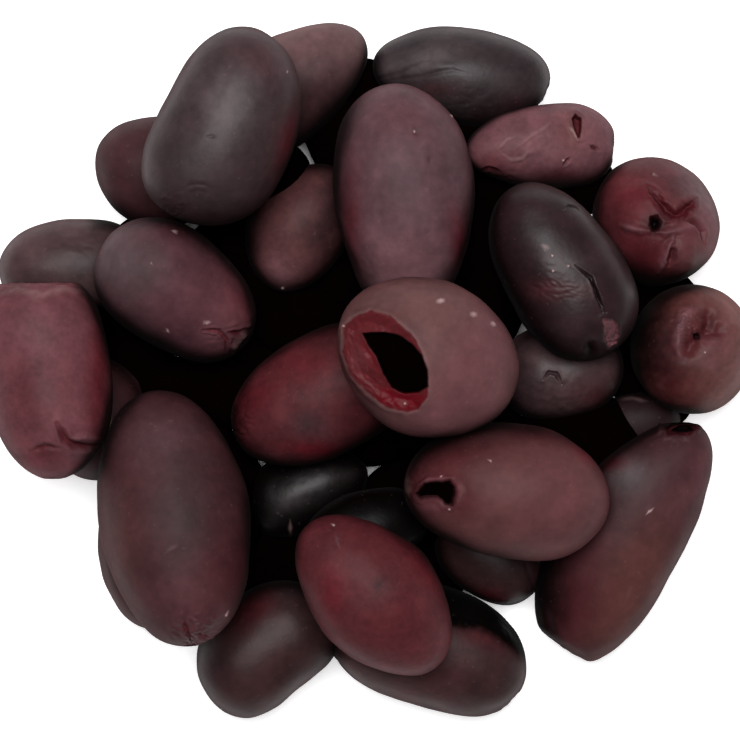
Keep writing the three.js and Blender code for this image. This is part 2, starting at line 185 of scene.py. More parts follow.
# From the bottom of the heap up. Each olive is let down on the ones before it.
OLIVES = [
    # on the surface, left and upper left
    olive("purple", "plum", -27.3, 26, 180, 16.4, 14.4, bend=-0.7),
    olive(
        "purple", "ash_rose", -10.8, 36.4, 35, 24.1, 13.7, taper=0.11, front=2, back=2.4,
        skin=[
            # painted shade: the black and plum patches darken the lower side, where the olives next
            # to it shade it
            stain("black", 5, -2.9, 14, 10, 0.8, turn=46), stain("plum", 0, -2.9, 16, 12, 0.7),
        ],
    ),
    olive(
        "grey", "umber", -38.3, 13.4, 6, 20.1, 12.4, taper=0.06,
        skin=[
            crumple(0.5, 2.6, 6.4, 3, 0.03, (1.8, 1)),
            fold([(-2.5, 2.4), (-0.2, 2.9), (2.6, 2.4)], 0.5, 0.05),
            fold([(-1.3, 4.2), (1.6, 4.5)], 0.45, 0.05),
            # painted shade: the black patch darkens the right end, which lies under the next olive
            stain("black", 3.7, 0.4, 8, 4, 0.6, turn=10),
        ],
    ),
    olive(
        "brown", "plum", -35.3, -6.4, 85, 16, 12.5,
        skin=[
            fold([(1.1, -4.1), (1.8, -1.5), (2.2, 0.6)], 0.4, -0.15, tone="pale", strength=0.4),
            stain("mauve", -1.4, -5.8, 6, 3, 0.7),
        ],
    ),
    olive("purple", "plum", -29, -24, -80, 19.5, 12.3),
    # on the surface, lower edge
    olive(
        "grey", "grey_brown", -13.2, -35.9, 38, 20.2, 14.4, taper=0.03, front=2.8, back=2.8,
        bend=-1.1,
        skin=[
            # painted shade: the dark red patch on top and the black patches on the left darken the
            # skin where the neighbouring olive overhangs it, the top one with a reddish painted
            # reflection of that olive
            stain("blood", -2.2, 4.8, 8.4, 4.6, 0.85, turn=20),
            stain("black", -6.9, -2.3, 4.4, 8, 0.85, turn=-30),
            stain("slate", 2.5, 7.3, 3.4, 4, 0.7), stain("black", -5.5, 3.7, 5, 4, 0.6),
        ],
    ),
    olive(
        "grey", "grey_brown", 7.9, -35.9, -18, 25.7, 15.7, front=2.7, back=3.3, bend=-0.7,
        ends=[end(-47, 8, 11.5, shoulder=0.8, rough=0.3)],
        skin=[
            # painted shadow: the shallow dent over the upper right is coloured near black where the
            # olives above shade it
            mouth([(1.2, 9.4), (5, 8.2), (7.9, 6.6), (10.5, 5), (12.3, 2.9), (13.3, 0.6),
                (13.3, -1.6), (12.2, -1.5), (10.3, 0), (8.1, 1.6), (6.3, 2.7), (2.9, 3), (1, 3.1)],
                0.7, 2.6, lip=0, ragged=0.2, tone="deep", blur=0.7, fine=2),
            stain("blood", -10.5, -2.7, 3.4, 5, 0.7),
            stain("blood", 5.5, 2.2, 10, 2.4, 0.6, turn=-20),
            stain("russet", -4.1, -5.1, 12, 5, 0.5, turn=-15), stain("russet", 1, 0.3, 8, 6, 0.5),
        ],
    ),
    olive(
        "grey", "grey_brown", 15.6, -24.2, -31, 15.1, 11.1, taper=-0.03, front=2.7,
        skin=[
            fold([(4.2, 0), (4.8, -2), (5.5, -4)], 0.3, 0.1, tone="black", strength=0.6),
            stain("blood", 0.2, -5.2, 5, 2.6, 0.9, turn=-15),
            stain("black", 3.7, -1.5, 4, 8, 0.6, turn=10),
        ],
    ),
    # on the surface, right edge
    olive(
        "brown", "black", 35, -6.8, 10, 11, 8.1,
        skin=[
            fold([(-4.5, -0.1), (-4.2, 1.6), (-3.5, 3.3)], 0.3, -0.15, tone="pale", strength=0.45),
            fold([(-3, 3), (-1, 3.3), (1.1, 2.9)], 0.25, -0.15, tone="pale", strength=0.2, fine=2),
        ],
    ),
    olive(
        "brown", "plum", 32.7, -21.9, 60, 35.6, 16.2, tilt=7, thick=0.84, taper=0.08, front=2.1,
        back=2.1, bend=-1.3, ends=[end(-123, 5, 14.9, shoulder=0.8, rough=0.15)],
        skin=[
            mouth([(4.8, 14.5), (5.8, 15.5), (7.6, 15.8), (9.1, 15.3), (9.3, 14.5), (8.2, 13.7),
                (6.3, 13.5), (5.1, 13.7)], 2.4, 0.8, lip=0.15, ragged=0.25, tone="blood",
                strength=0.95),
            # painted shade: the inner opening is coloured near black
            mouth([(5.9, 14.2), (6.9, 14.9), (8.5, 14.9), (8.9, 14.2), (7.6, 13.9)], 2.2, 0.4,
                tone="deep"),
            fold([(4.2, 13.9), (4.7, 15.1), (6.2, 16.1), (8.1, 16.3), (9.5, 15.7)], 0.45, -0.35,
                tone="dusty_rose", strength=0.6, flesh=0.4),
            crumple(5.3, 14, 6, 3.6, 0.08, (0.9, 0.6)),
            # painted shade: this crease on the lower left is darkened along its groove
            fold([(-9.8, -8.4), (-9.4, -10.5), (-8.8, -12.6)], 0.5, 0.1, tone="black",
                strength=0.8),
            # the second patch on the next line is a painted highlight near the upper end
            stain("slate", 0.6, 8.2, 7, 6, 0.5, turn=60), stain("painted_sheen", -0.1, 8.7, 4.8, 3.8, 0.95),
            stain("slate", -3.4, -5.5, 4, 9, 0.35, turn=-30),
            stain("rust", 0.2, -6.1, 18, 8, 0.85, turn=60),
            stain("blood", -6.9, -7.2, 8, 15, 0.85, turn=-20),
            # painted shade: the first patch on the next line darkens the left flank
            stain("deep", -9.8, -6.1, 6, 16, 0.9), stain("crimson", -2.4, 10.1, 4.2, 2, 0.8),
            stain("dusty_rose", 8.7, 7.9, 4, 12, 0.4, turn=-30),
        ],
        drops=[(0.4, -6.3), (-0.9, -8.2), (2.8, 4)],
    ),
    olive(
        "opened", "clay", 41.4, 2.8, 8, 16.6, 16.9, tilt=70, front=2, back=1.6, bend=0.5,
        skin=[
            dent(0.7, 1.9, 8, 8, 1, tone="blood", strength=0.8),
            fold([(1.6, 5.7), (1.8, 4.1), (1.6, 2.3)], 1.2, 0.8, lip=0.05, tone="blood",
                strength=0.95),
            fold([(0, 1.9), (1.7, 2), (3.3, 2.3), (4.8, 2.2)], 1, 0.8, lip=0.05, tone="blood",
                strength=0.95),
            fold([(0.1, 1.6), (-0.9, 0.2), (-1.6, -1.4)], 0.9, 0.6, lip=0.05, tone="blood",
                strength=0.7),
            # painted shade: the middle of the torn cross is coloured near black
            mouth([(-0.6, 2), (0.3, 2.3), (0.9, 1.8), (0.4, 1.1), (-0.4, 1.1)], 1.2, 0.5,
                tone="deep", strength=0.8, blur=0.35),
            fold([(0.9, 5.1), (-0.5, 5), (-1.5, 4.1), (-2.2, 2.5), (-2.4, 0.7), (-1.9, -1.2)], 0.8,
                -0.4, lip=0.05, tone="rose", strength=0.5),
            dent(1.9, 0.4, 3, 3.4, -0.3, tone="rose", strength=0.3),
            crumple(-1.3, 3.3, 4, 6, 0.1, (0.8, 0.6)), crumple(-3.6, 0.4, 6, 10, 0.03, (1.2, 1)),
            # painted shade: the second patch on the next line darkens the left flank beside the
            # next olive
            stain("blood", -3.6, 0, 9, 17, 0.9), stain("deep", -6, 0.4, 8, 18, 0.9),
            stain("blood", -1.9, -6, 10, 5, 0.5), stain("rose", 1.8, -1.8, 3.4, 2.6, 0.4),
            stain("rose", 4, 0.4, 5, 12, 0.45),
        ],
        drops=[(1.1, -0.6)],
    ),
    olive(
        "opened", "russet", 37.2, 18.6, 31, 15.4, 17.1, tilt=65, front=2, back=1.8, bend=-2.5,
        skin=[
            dent(-2.9, 2.1, 6.6, 7, -0.5, edge=3),
            mouth([(-1.9, 4.8), (-0.4, 3.7), (0.8, 2.6), (1.7, 2), (3, 3), (4.4, 3.3), (4.4, 2.2),
                (3.5, 0.9), (2.7, 0.3), (1.3, 0.3), (0, 0.9), (-1, 2.4), (-1.7, 3.5)], 1.2, 1.1,
                lip=0.12, ragged=0.22, grit=0.08, tone="blood", flesh=0.2, blur=0.5),
            # painted shade: the inner hollow is coloured near black
            mouth([(-1.6, 1), (-0.5, 1.1), (0, 0.1), (-0.5, -1.1), (-1.4, -1.2), (-2, -0.3)], 2.2,
                1.3, ragged=0.2, tone="deep", blur=0.6),
            fold([(-5.3, -0.1), (-3.4, -0.7), (-1.7, -1)], 0.5, -0.45, tone="rose", strength=0.5),
            fold([(-0.8, -1.1), (0.4, -1.2), (1.9, -0.8), (3.5, -0.4), (4.9, -0.9)], 0.5, -0.4,
                tone="rose", strength=0.4),
            fold([(1.3, -1.8), (0.6, -3.6), (-0.3, -6.1)], 0.5, -0.45, tone="rose", strength=0.5),
            fold([(1.2, -2.7), (1.1, -4.1), (0.9, -5.2)], 0.4, 0.8, tone="blood"),
            dent(2.8, -3.5, 3.4, 5, -0.5, edge=3, tone="dusty_rose", strength=0.4),
            fold([(2.7, 0.6), (4.4, 0.1), (5.3, -1), (5.4, -2.5)], 0.35, 0.5, tone="blood",
                strength=0.8),
            stain("blood", -2.2, -3.6, 6, 9, 0.95), stain("blood", -1, -1.8, 4, 4, 0.7),
            # the second patch on the next line is a painted highlight
            stain("crimson", -2.9, 3, 6, 7, 0.4), stain("painted_sheen", 5.1, 4.5, 8, 6, 0.5, turn=-45),
            stain("rose", 6.1, -0.1, 3.4, 10, 0.5), stain("rust", 3.6, -4.8, 5, 7, 0.4),
        ],
        drops=[(-0.8, 6.5)],
    ),
    # on the surface, upper right
    olive(
        "black", "charcoal", 11.9, 38.2, -6.5, 23.1, 12.9, taper=-0.05, front=2.1, back=1.9,
        bend=0.5, ends=[end(-29, -6, 10.1, shoulder=0.2, rough=0.7)],
        skin=[
            # painted shade: the two creases are darkened along their grooves
            fold([(-11.6, -0.5), (-9.8, -0.3), (-8, 0.1), (-6.8, 0.8), (-5.5, 1.3), (-4, 1.5)], 0.3,
                0.1, tone="black", strength=0.4),
            fold([(-10, -0.9), (-7.8, -0.7), (-4.9, -0.5), (-2.9, 0), (-1.4, 0.2), (0, -0.1),
                (0.8, -0.4)], 0.3, 0.09, tone="black", strength=0.4),
            dent(-3.3, 0.7, 4, 1.6, -0.15), crumple(0.9, -4.2, 8, 3.6, 0.06, (1.6, 0.9)),
            # painted highlight: the pale band between the creases
            stain("painted_sheen", -5.5, 1.6, 9, 3, 0.6, turn=12),
            # painted shadow: the black patches on this and the next line darken the lower right and
            # lower side, where the next olive lies over them
            stain("black", 6.1, -4.3, 6, 3.6, 1, turn=22),
            stain("black", 2.1, -6.1, 6, 3, 0.8, turn=15), stain("plum", -3.3, -2.1, 6, 2.4, 0.6),
        ],
    ),
    olive(
        "red", "dusk", 22, 28.8, 3.5, 20.3, 10.7, tilt=-18, taper=-0.06, front=3.5, back=1.7,
        bend=-0.3, ends=[end(-2, 8, 8.9, shoulder=0.25, rough=0.3)],
        skin=[
            mouth([(3.8, 3.2), (4.2, 4), (5, 3.4), (5, 2.2), (4.9, 0.9), (4.5, 0.8), (4.1, 1.8)],
                1.5, 0.3, lip=0.2, tone="blood", strength=0.95),
            fold([(3.3, 2.3), (4, 1.4), (4.5, 0.5)], 0.22, -0.25, tone="pale", strength=0.5),
            fold([(6.2, -0.1), (7.3, -0.6)], 0.25, 0.4, tone="blood", strength=0.8),
            fold([(2.7, -2.7), (3.6, -1.7)], 0.22, 0.3, tone="blood", strength=0.7),
            fold([(-5.8, -0.7), (-4.6, 0.5), (-3.4, 0.9)], 0.25, -0.1, tone="pale", strength=0.25),
            fold([(-3, -0.3), (-1.6, 0.9), (0.3, 2.1), (1.1, 2.9)], 0.25, -0.08, tone="pale",
                strength=0.2),
            fold([(-5.1, -1.4), (-3.9, -2.1), (-2.5, -1.9), (-1.8, -1)], 0.25, -0.08, tone="pale",
                strength=0.2),
            fold([(-7.9, -3.2), (-6.7, -3), (-5.3, -3.6)], 0.22, 0.25, tone="blood", strength=0.9,
                fine=2),
            crumple(-6.5, -4.3, 6, 3, 0.1, (1.2, 0.7), tone="blood", strength=0.3),
            crumple(-2.3, -0.2, 12, 8, 0.05, (2.4, 1.2), turn=35),
            stain("wet_flesh", 6.3, -2.8, 6.4, 2.2, 0.9, turn=10),
            # painted shade: the dark red and russet patches on the next line darken the lower and
            # left sides
            stain("blood", 2.4, -4, 10, 2.4, 0.7, turn=-4), stain("russet", -6.7, -2.6, 6, 6, 0.7),
            stain("rust", 3.8, 1.9, 4, 5, 0.5), stain("dusty_rose", -0.3, 3.1, 8, 3, 0.3),
        ],
        drops=[(2.7, -2)],
    ),
    # on the surface, in the middle of the heap
    olive(
        "red", "brown", -8.9, 18.6, 237, 17.8, 13.3, taper=0.08, front=2.2, back=1.7, bend=0.6,
        skin=[
            # painted shade: the black patches on both flanks
            stain("black", 3.9, 1.3, 5, 13, 0.9, turn=-18),
            stain("black", -6.6, -1.8, 3.4, 12, 0.85), stain("rose", -2.6, -7, 5, 6, 0.8),
        ],
        drops=[(-2.4, -8)],
    ),
    olive(
        "black", "umber", 24.7, -0.3, 10, 16.6, 12.7,
        skin=[
            # painted shade: the slit is darkened along its groove
            fold([(-2.5, -0.9), (-1.8, 0), (-0.8, -0.2), (-0.2, -1.5)], 0.22, 0.35, tone="black",
                strength=0.8),
            crumple(-0.3, -2.9, 9, 5, 0.08, (1.6, 1.2)), stain("blood", 5.2, -3.6, 7, 5, 0.6),
            # painted shade: the black patch darkens the left side, under the olive lying over it
            stain("black", -6, -1.6, 5, 10, 0.6),
        ],
    ),
    olive(
        # painted shade: the whole skin is near black, for an olive lying in the heap's shade
        "black", "deep", -8.7, -15.6, 24, 17.4, 10.6,
        skin=[
            # painted highlights: the pale band along the top, the pale line near the lower end and
            # the pale patch
            fold([(-4.1, -6.1), (-3.6, -3.2), (-2, -0.7), (1.2, 0.8), (5.3, 1.9), (8.2, 2.7)], 1.3,
                -0.1, lip=0, tone="painted_sheen", strength=0.15),
            fold([(-1.6, -3.7), (-1.6, -8.1)], 0.2, -0.1, tone="pale", strength=0.5, fine=2),
            stain("painted_sheen", -0.6, -0.7, 4.4, 2.4, 0.2, turn=35),
        ],
    ),
    # painted shade: near-black skin for an olive lying in the heap's shade
    olive("black", "deep", -0.5, -20.6, 18, 16.8, 10.1, tilt=-12),
    # the upper layer, anticlockwise from the top
    olive(
        "grey", "slate", -18.2, 30.6, 66, 26, 17.3, taper=0.12, front=2.95, back=2.85, bend=1.2,
        skin=[
            fold([(-5, -8.2), (-4.1, -7.8), (-3.2, -7.7), (-2.2, -7.8), (-1.4, -8.2)], 0.22, 0.08,
                tone="black", strength=0.4, fine=2),
            fold([(-4.5, -8.8), (-3.2, -8.4), (-1.9, -8.7)], 0.2, 0.06, tone="black", strength=0.3,
                fine=2),
            # painted shade: this small crease is darkened along its groove
            fold([(-2.2, -2), (-1.5, -1.8), (-0.6, -1.9)], 0.14, 0.1, tone="deep", strength=0.35,
                fine=2),
            crumple(-6.1, -9.8, 3.4, 4, 0.08, (1, 0.6), tone="black", strength=0.3),
            crumple(1, -1, 14, 18, 0.05, (3.4, 2.2), turn=30),
            stain("crimson", 8.3, -2.1, 3, 7, 0.55, turn=-15),
            # painted shade: the black patch darkens the lower edge, over the olives beneath
            stain("black", -0.4, -12.8, 17, 6, 0.9, turn=8),
            stain("charcoal", -5.3, -4.6, 5, 6, 0.8), stain("charcoal", -1, -8.9, 10, 5, 0.5),
            # the second patch on the next line is a painted highlight
            stain("purple", 5.8, 7.9, 8, 6, 0.6), stain("painted_sheen", 0.7, 2.9, 8, 9, 0.55),
        ],
        drops=[(7.9, 6.5)],
    ),
    olive(
        "purple", "purple", -24.6, 10, -36, 22.9, 15.2, tilt=-24, taper=0.18, front=3.5, back=2.1,
        bend=-0.3, blush=0.5,
        skin=[
            fold([(3.5, -5), (5.5, -5.1), (6.5, -6.3), (6.3, -7.6)], 0.24, 0.3, lip=0.4,
                tone="crimson", strength=0.5),
            fold([(6.7, -5.3), (8.2, -5.4), (9.4, -4.6)], 0.3, 0.5, lip=0.3, tone="crimson",
                strength=0.8),
            fold([(7.1, -8.3), (7.2, -7.1), (8.3, -5.9), (9.4, -4.1)], 0.3, -0.3, tone="pale",
                strength=0.35),
            crumple(6.9, -5.9, 6, 4, 0.12, (1.3, 0.9)),
            crumple(0.2, 0, 13, 10, 0.07, (3, 2.2), turn=-36),
            stain("crimson", 8.8, -2.6, 4, 9, 0.5, turn=25),
            stain("dusty_rose", 7.1, -4.4, 7, 7, 0.75), stain("blood", 0.7, 7.6, 4, 2.2, 0.5),
            # painted sheen: the pale and slate patches on the next line give the grey sheen on the
            # upper left
            stain("painted_sheen", -6.5, 3.5, 7, 9, 0.6), stain("slate", -5.7, 2.5, 9, 12, 0.5),
            stain("dusty_rose", 5.1, 0.1, 7, 9, 0.4, turn=-40),
            # painted shade: the black patch darkens the lower left side
            stain("black", -3.5, -6.8, 10, 4, 0.7, turn=-37),
        ],
        drops=[(4, -4.1), (0, 7.3), (-2.9, 3.5), (-0.9, -5.2)],
    ),
    olive(
        "red", "heather", -41, -0.8, 103.5, 27, 16.2, tilt=-18, taper=-0.11, front=4.5, back=2.9,
        bend=0.8, blush=0.6,
        ends=[end(90, 4, 11.4, shoulder=0.3, rough=0.2), end(-83, 8, 13, rough=0.3)],
        skin=[
            fold([(-5.8, 10), (-3.1, 10.6), (0.1, 10.1), (2.4, 10.8), (5.8, 10.5)], 0.4, -0.15,
                tone="pale", strength=0.2),
            fold([(2.2, -5.9), (3.3, -7.9), (4.3, -8.6), (5.8, -8.8), (7.2, -8.6)], 0.45, 0.7,
                lip=0.2, tone="blood", strength=0.9),
            fold([(3.8, -7.8), (5.6, -7.5), (7.4, -7.9)], 0.35, -0.25, tone="rose", strength=0.4),
            dent(0.6, -9.9, 6, 2.4, 0.4, tone="blood", strength=0.6),
            fold([(-1.3, -9.4), (0.5, -8.8), (2.5, -9)], 0.4, 0.4, tone="blood", strength=0.8),
            crumple(1.3, 1.4, 12, 9, 0.06, (3, 2), turn=70),
            # painted glow: the crimson band along the right edge, on the next line, stands in for
            # light shining through the flesh
            crumple(0.3, 8.9, 13, 3, 0.08, (2.2, 1.6)), stain("crimson", 7.1, 0.5, 2.4, 17, 0.6),
            stain("russet", -1.4, -2.9, 7, 9, 0.5), stain("mauve", 5.4, -9.8, 5, 2.4, 0.6),
            stain("rose", -0.1, 5.8, 9, 5, 0.3),
        ],
    ),
    olive(
        "purple", "plum", -24.7, -18.5, -80, 32.9, 19, tilt=12, front=2, back=1.9, bend=-0.4,
        skin=[
            crumple(3.3, -13.4, 6.6, 4.6, 0.2, (1.2, 0.9), flesh=0.2),
            fold([(1.7, -12.4), (2, -13.7), (2.4, -14.8)], 0.25, 0.4, tone="blood", strength=0.8),
            fold([(3, -14), (3.7, -14.4), (4.7, -14.6)], 0.25, 0.35, tone="blood", strength=0.7),
            mouth([(1.7, -15.3), (2.4, -14.5), (2.9, -15.2), (2.7, -16.8), (1.5, -16.8)], 1.2, 0.4,
                ragged=0.3, tone="blood", strength=0.7),
            fold([(-0.6, -4.1), (0.2, -3.5), (1.2, -3.1)], 0.2, -0.06, tone="mauve", strength=0.6,
                fine=2),
            crumple(0.1, 0, 14, 22, 0.06, (3.4, 3)), stain("russet", 5.6, -4.9, 7, 14, 0.5),
            stain("rust", -5.6, -2.5, 6, 14, 0.3), stain("dusty_rose", 2.5, -9.8, 9, 6, 0.3),
            stain("mauve", -1.4, 9.8, 9, 6, 0.45), stain("charcoal", 2.5, 0.6, 8, 14, 0.5),
            # painted shade: the black band darkens the right flank
            stain("black", 10.3, 0.2, 3.6, 18, 0.8, turn=6),
            stain("blood", 8.5, -7.6, 4, 10, 0.5, turn=-20),
        ],
        drops=[(2.3, 0), (6.7, -11.9)],
    ),
    olive(
        "red", "russet", 0.4, -28.1, -47.5, 24.3, 16, tilt=-9, taper=-0.05, front=1.6, back=1.6,
        bend=-0.4, blush=0.7,
        skin=[
            fold([(-4.6, 7.8), (-4.5, 7), (-4.2, 6.3)], 0.3, -0.1, tone="mauve", strength=0.5),
            crumple(1.4, 1.1, 14, 14, 0.06, (3, 2.2), turn=-47),
            stain("black", 0.7, 1.7, 1.2, 1.9, 0.8, turn=-30),
            # painted glow: the crimson band along the right edge stands in for light shining
            # through the flesh
            stain("crimson", 7.4, 4.3, 4, 14, 0.55, turn=36),
            stain("blood", -2.6, 7.1, 9, 5, 0.55, turn=-20),
            # painted glow: the crimson patch on the left edge stands in for light shining through
            # the flesh
            stain("crimson", -5.3, -0.2, 3, 8, 0.4, turn=-10),
            stain("blood", 2.7, -2.7, 7, 9, 0.35),
        ],
        drops=[(-4.9, 8.8), (9.9, -6.7)],
    ),
    olive(
        "brown", "brown", 17.3, -15.4, 172, 26.3, 17.1, tilt=6, taper=0.05, front=2.1, back=2.2,
        bend=0.3, blush=0.45,
        skin=[
            dent(-9.8, 0.5, 9, 6.4, 0.5, edge=3, tone="blood", strength=0.75),
            # painted shade: the well is coloured near black
            mouth([(-11.8, -0.2), (-10.8, 1.2), (-10, 1.5), (-8.5, 1.5), (-7.5, 1.7), (-6.9, 0.9),
                (-6.8, -0.4), (-7.1, -1.5), (-8, -1.4), (-8.4, -0.8), (-9.1, -0.5), (-10.1, -0.5),
                (-11.2, -0.7)], 4.5, 0.9, lip=0.2, ragged=0.12, tone="deep", flesh=0.3, blur=0.7),
            fold([(-11.4, 1), (-10.1, 1.8), (-8.5, 1.9), (-7.1, 2.1)], 0.35, -0.25,
                tone="dusty_rose", strength=0.6, flesh=0.3),
            dent(-9.7, -1.5, 4.4, 2.4, -0.45, tone="dusty_rose", strength=0.5, flesh=0.3),
            fold([(-12.8, 2.3), (-13, 1), (-12.6, -0.6)], 0.4, -0.3, tone="pale", strength=0.3),
            fold([(-6.5, 1.5), (-6, 0.2), (-6.4, -1.5)], 0.4, -0.15, tone="dusty_rose",
                strength=0.4),
            # painted shade: the dark red patch on the next line, beside the hole
            crumple(-10.4, 2.9, 6, 3, 0.06, (1.1, 0.8)), stain("blood", -5.9, -0.7, 4.4, 5, 0.6),
            # painted shadow: the near-black and dark red patches along the top, where the topmost
            # olive shades it
            stain("deep", -9.8, 5.5, 13, 4.4, 0.85, turn=18),
            stain("blood", -6.4, 4.5, 12, 5, 0.7, turn=14),
            stain("blood", 3.5, 7.8, 10, 3, 0.6, turn=-14),
            stain("crimson", 9.9, 5, 5, 2, 0.5, turn=-40),
            stain("dusty_rose", 6.3, -0.8, 12, 12, 0.35),
        ],
        drops=[(-8.5, 2.2), (-7.4, -1.9), (-2.3, 4.1)],
    ),
    olive(
        "purple", "mauve", 4.2, 21.4, 93.5, 30.5, 17.6, tilt=3, taper=-0.18, front=1.9, back=2.4,
        bend=0.7, blush=0.5,
        skin=[
            dent(1.6, 8.3, 1, 1.2, 0.25, tone="plum", strength=0.6),
            dent(3.3, 4.8, 0.6, 0.8, 0.15, tone="plum", strength=0.6),
            # painted glow: the crimson bands here and on the next line stand in for light shining
            # through the flesh
            crumple(0.2, 1.1, 16, 26, 0.03, (1.6, 7)), stain("crimson", -6.7, -4.4, 3, 16, 0.55),
            stain("crimson", 7.3, -5.9, 2.8, 8, 0.8, turn=12),
            stain("dusty_rose", -0.4, 9.9, 8, 6, 0.4), stain("rose", -0.2, -7.9, 11, 8, 0.75),
        ],
        drops=[(1.4, 8.5), (6.1, 10.8)],
    ),
    olive(
        "black", "black", 24.3, 12.7, -57, 24.7, 15.2, tilt=-3, taper=-0.12, front=2.7, back=2.6,
        skin=[
            # painted shade: these creases are darkened along their grooves
            fold([(1.4, 0.4), (2.6, -0.6), (3.4, -1.2), (4.2, -3.5), (5.2, -5.5)], 0.2, 0.35,
                tone="deep", strength=0.8),
            fold([(3, -1.1), (4, -2.7), (4.8, -5.5)], 0.18, 0.3, tone="deep", strength=0.7),
            crumple(-1, -2.6, 7.5, 2.8, 0.07, (1.1, 0.55), turn=-5, tone="blood", strength=0.25),
            crumple(-0.5, -0.4, 7, 4, 0.03, (1.6, 0.9), turn=-12),
            # painted shade: this short crease is darkened along its groove
            fold([(0, 7.5), (0.8, 8), (1.8, 7.9), (2.2, 7.3)], 0.16, 0.2, tone="deep",
                strength=0.5),
            mouth([(4.8, -6.3), (6, -6.2), (6.8, -6.9), (7.2, -8.2), (6.9, -9.5), (5.8, -9.8),
                (5.1, -8.7)], 0.35, 0.4, lip=0.1, ragged=0.25, grit=0.25, tone="dusty_rose",
                strength=0.8, flesh=0.8),
            dent(0.7, -7.5, 6, 5.4, -0.3),
            # painted shade: the hollow is darkened
            dent(3.5, -10.3, 1.5, 2.2, 0.6, tone="deep", strength=0.8),
            # the first patch on the next line is a painted highlight
            stain("painted_sheen", 0.1, 0.8, 4.8, 2.6, 0.35), stain("plum", -1.1, -2.7, 7.4, 2.4, 0.8),
            stain("slate", 0.7, -7.4, 5.6, 6, 0.4), stain("slate", 5.2, 3, 4.6, 12, 0.5, turn=25),
            # the first patch on the next line is painted sheen, grey on the upper left
            stain("slate", -2.3, 8.7, 8, 4, 0.4, turn=-35), stain("black", -1.4, 3.6, 6, 3, 0.7),
        ],
        drops=[(-1.5, 1.6), (-1.4, -0.3), (0.5, 0.3), (-2.4, 2.6)],
    ),
    olive(
        "red", "russet", -6.6, -3.5, 207, 23.7, 15.9, tilt=-4, taper=0.06, back=2.9, blush=0.7,
        skin=[
            crumple(-10, -2.9, 4, 5, 0.15, (1.1, 0.9), tone="blood", strength=0.4, flesh=0.5),
            fold([(-11.6, -4.5), (-11.2, -5.5), (-10.7, -6.6)], 0.3, -0.3, tone="pale",
                strength=0.6),
            crumple(-2.2, 1, 14, 8, 0.07, (4, 2.4)), stain("mauve", -0.7, -3.3, 6, 4, 0.3),
            # painted glow: the second patch on the next line, a crimson band along the lower edge
            stain("slate", -1.1, -3.3, 4, 2.6, 0.7), stain("crimson", -0.8, -6.6, 7, 1.8, 0.8),
            stain("crimson", -1.6, 4.1, 8, 4, 0.3),
            # painted glow: the first patch on the next line, crimson at the left end
            stain("crimson", -8.6, -0.3, 8, 4, 0.4, turn=30), stain("blood", 4.3, -2.2, 4, 7, 0.5),
        ],
    ),
    # the topmost olive, torn open over the wide stone hole
    olive(
        "brown", "tan", 7.2, 1.6, 154, 24.3, 19.5, tilt=20, front=1.8, back=1.9, bend=-0.4,
        blush=0.4,
        skin=[
            mouth([(-10.4, 3.8), (-9, 5), (-7, 5.6), (-4.8, 5), (-3.6, 4), (-2.2, 2.8), (-1, 0.9),
                (-0.3, -1.5), (-0.1, -3.2), (-0.2, -4.8), (-1.3, -6.3), (-2.6, -6.6), (-5, -6),
                (-7.4, -4.4), (-9.5, -2.1), (-10.5, 0.6)], 1.1, 1.6, lip=0.14, grit=0.08,
                tone="flesh", flesh=0.6, edge=0.1),
            dent(-8.4, -0.1, 3, 5.4, -0.3, tone="dusty_rose", strength=0.25, turn=-30),
            # painted shade: the deep well is coloured near black
            mouth([(-8.1, 2.9), (-6.8, 3), (-5.4, 3), (-3.7, 2.7), (-2.1, 1.6), (-0.9, 0.2),
                (-0.2, -1.6), (-0.1, -3.6), (-1.2, -4.3), (-2.9, -4.5), (-4.5, -3.8), (-5.5, -2),
                (-6.3, 0), (-7.2, 1.3)], 8, 0.7, ragged=0.05, tone="deep", flesh=0.4, blur=0.25),
            fold([(-8.5, 2.4), (-7.8, 1.4), (-7, 0.1), (-6.1, -1.6)], 0.4, 0.2, tone="wet_flesh",
                strength=0.7, flesh=0.6),
            # painted shade: the dark red line darkens the outer edge on the lower left
            fold([(-11.1, 1.6), (-10.6, -0.6), (-9.4, -2.8), (-7.7, -5), (-6, -6.5)], 0.5, 0,
                tone="blood", strength=0.6),
            stain("blood", -6.2, 4.7, 5, 2.4, 0.6), stain("wet_flesh", -2.6, -5.4, 5.4, 2.4, 1),
            stain("wet_flesh", -5, -4.8, 3, 2.2, 0.9),
            # painted light: the two pink patches lighten the right and lower side, as if lit evenly
            # from the front
            stain("dusty_rose", 7.3, 1.1, 9, 18, 0.7, turn=-30),
            stain("dusty_rose", 2.6, -6.7, 15, 7, 0.75, turn=15),
        ],
        drops=[
            (-10.4, 3.8), (-2.9, -5.6), (1.5, 6.8), (3.6, 6.4), (5.6, 5.4), (8.1, 4.2), (2.8, 3),
            (2, 0.5),
        ],
    ),
]

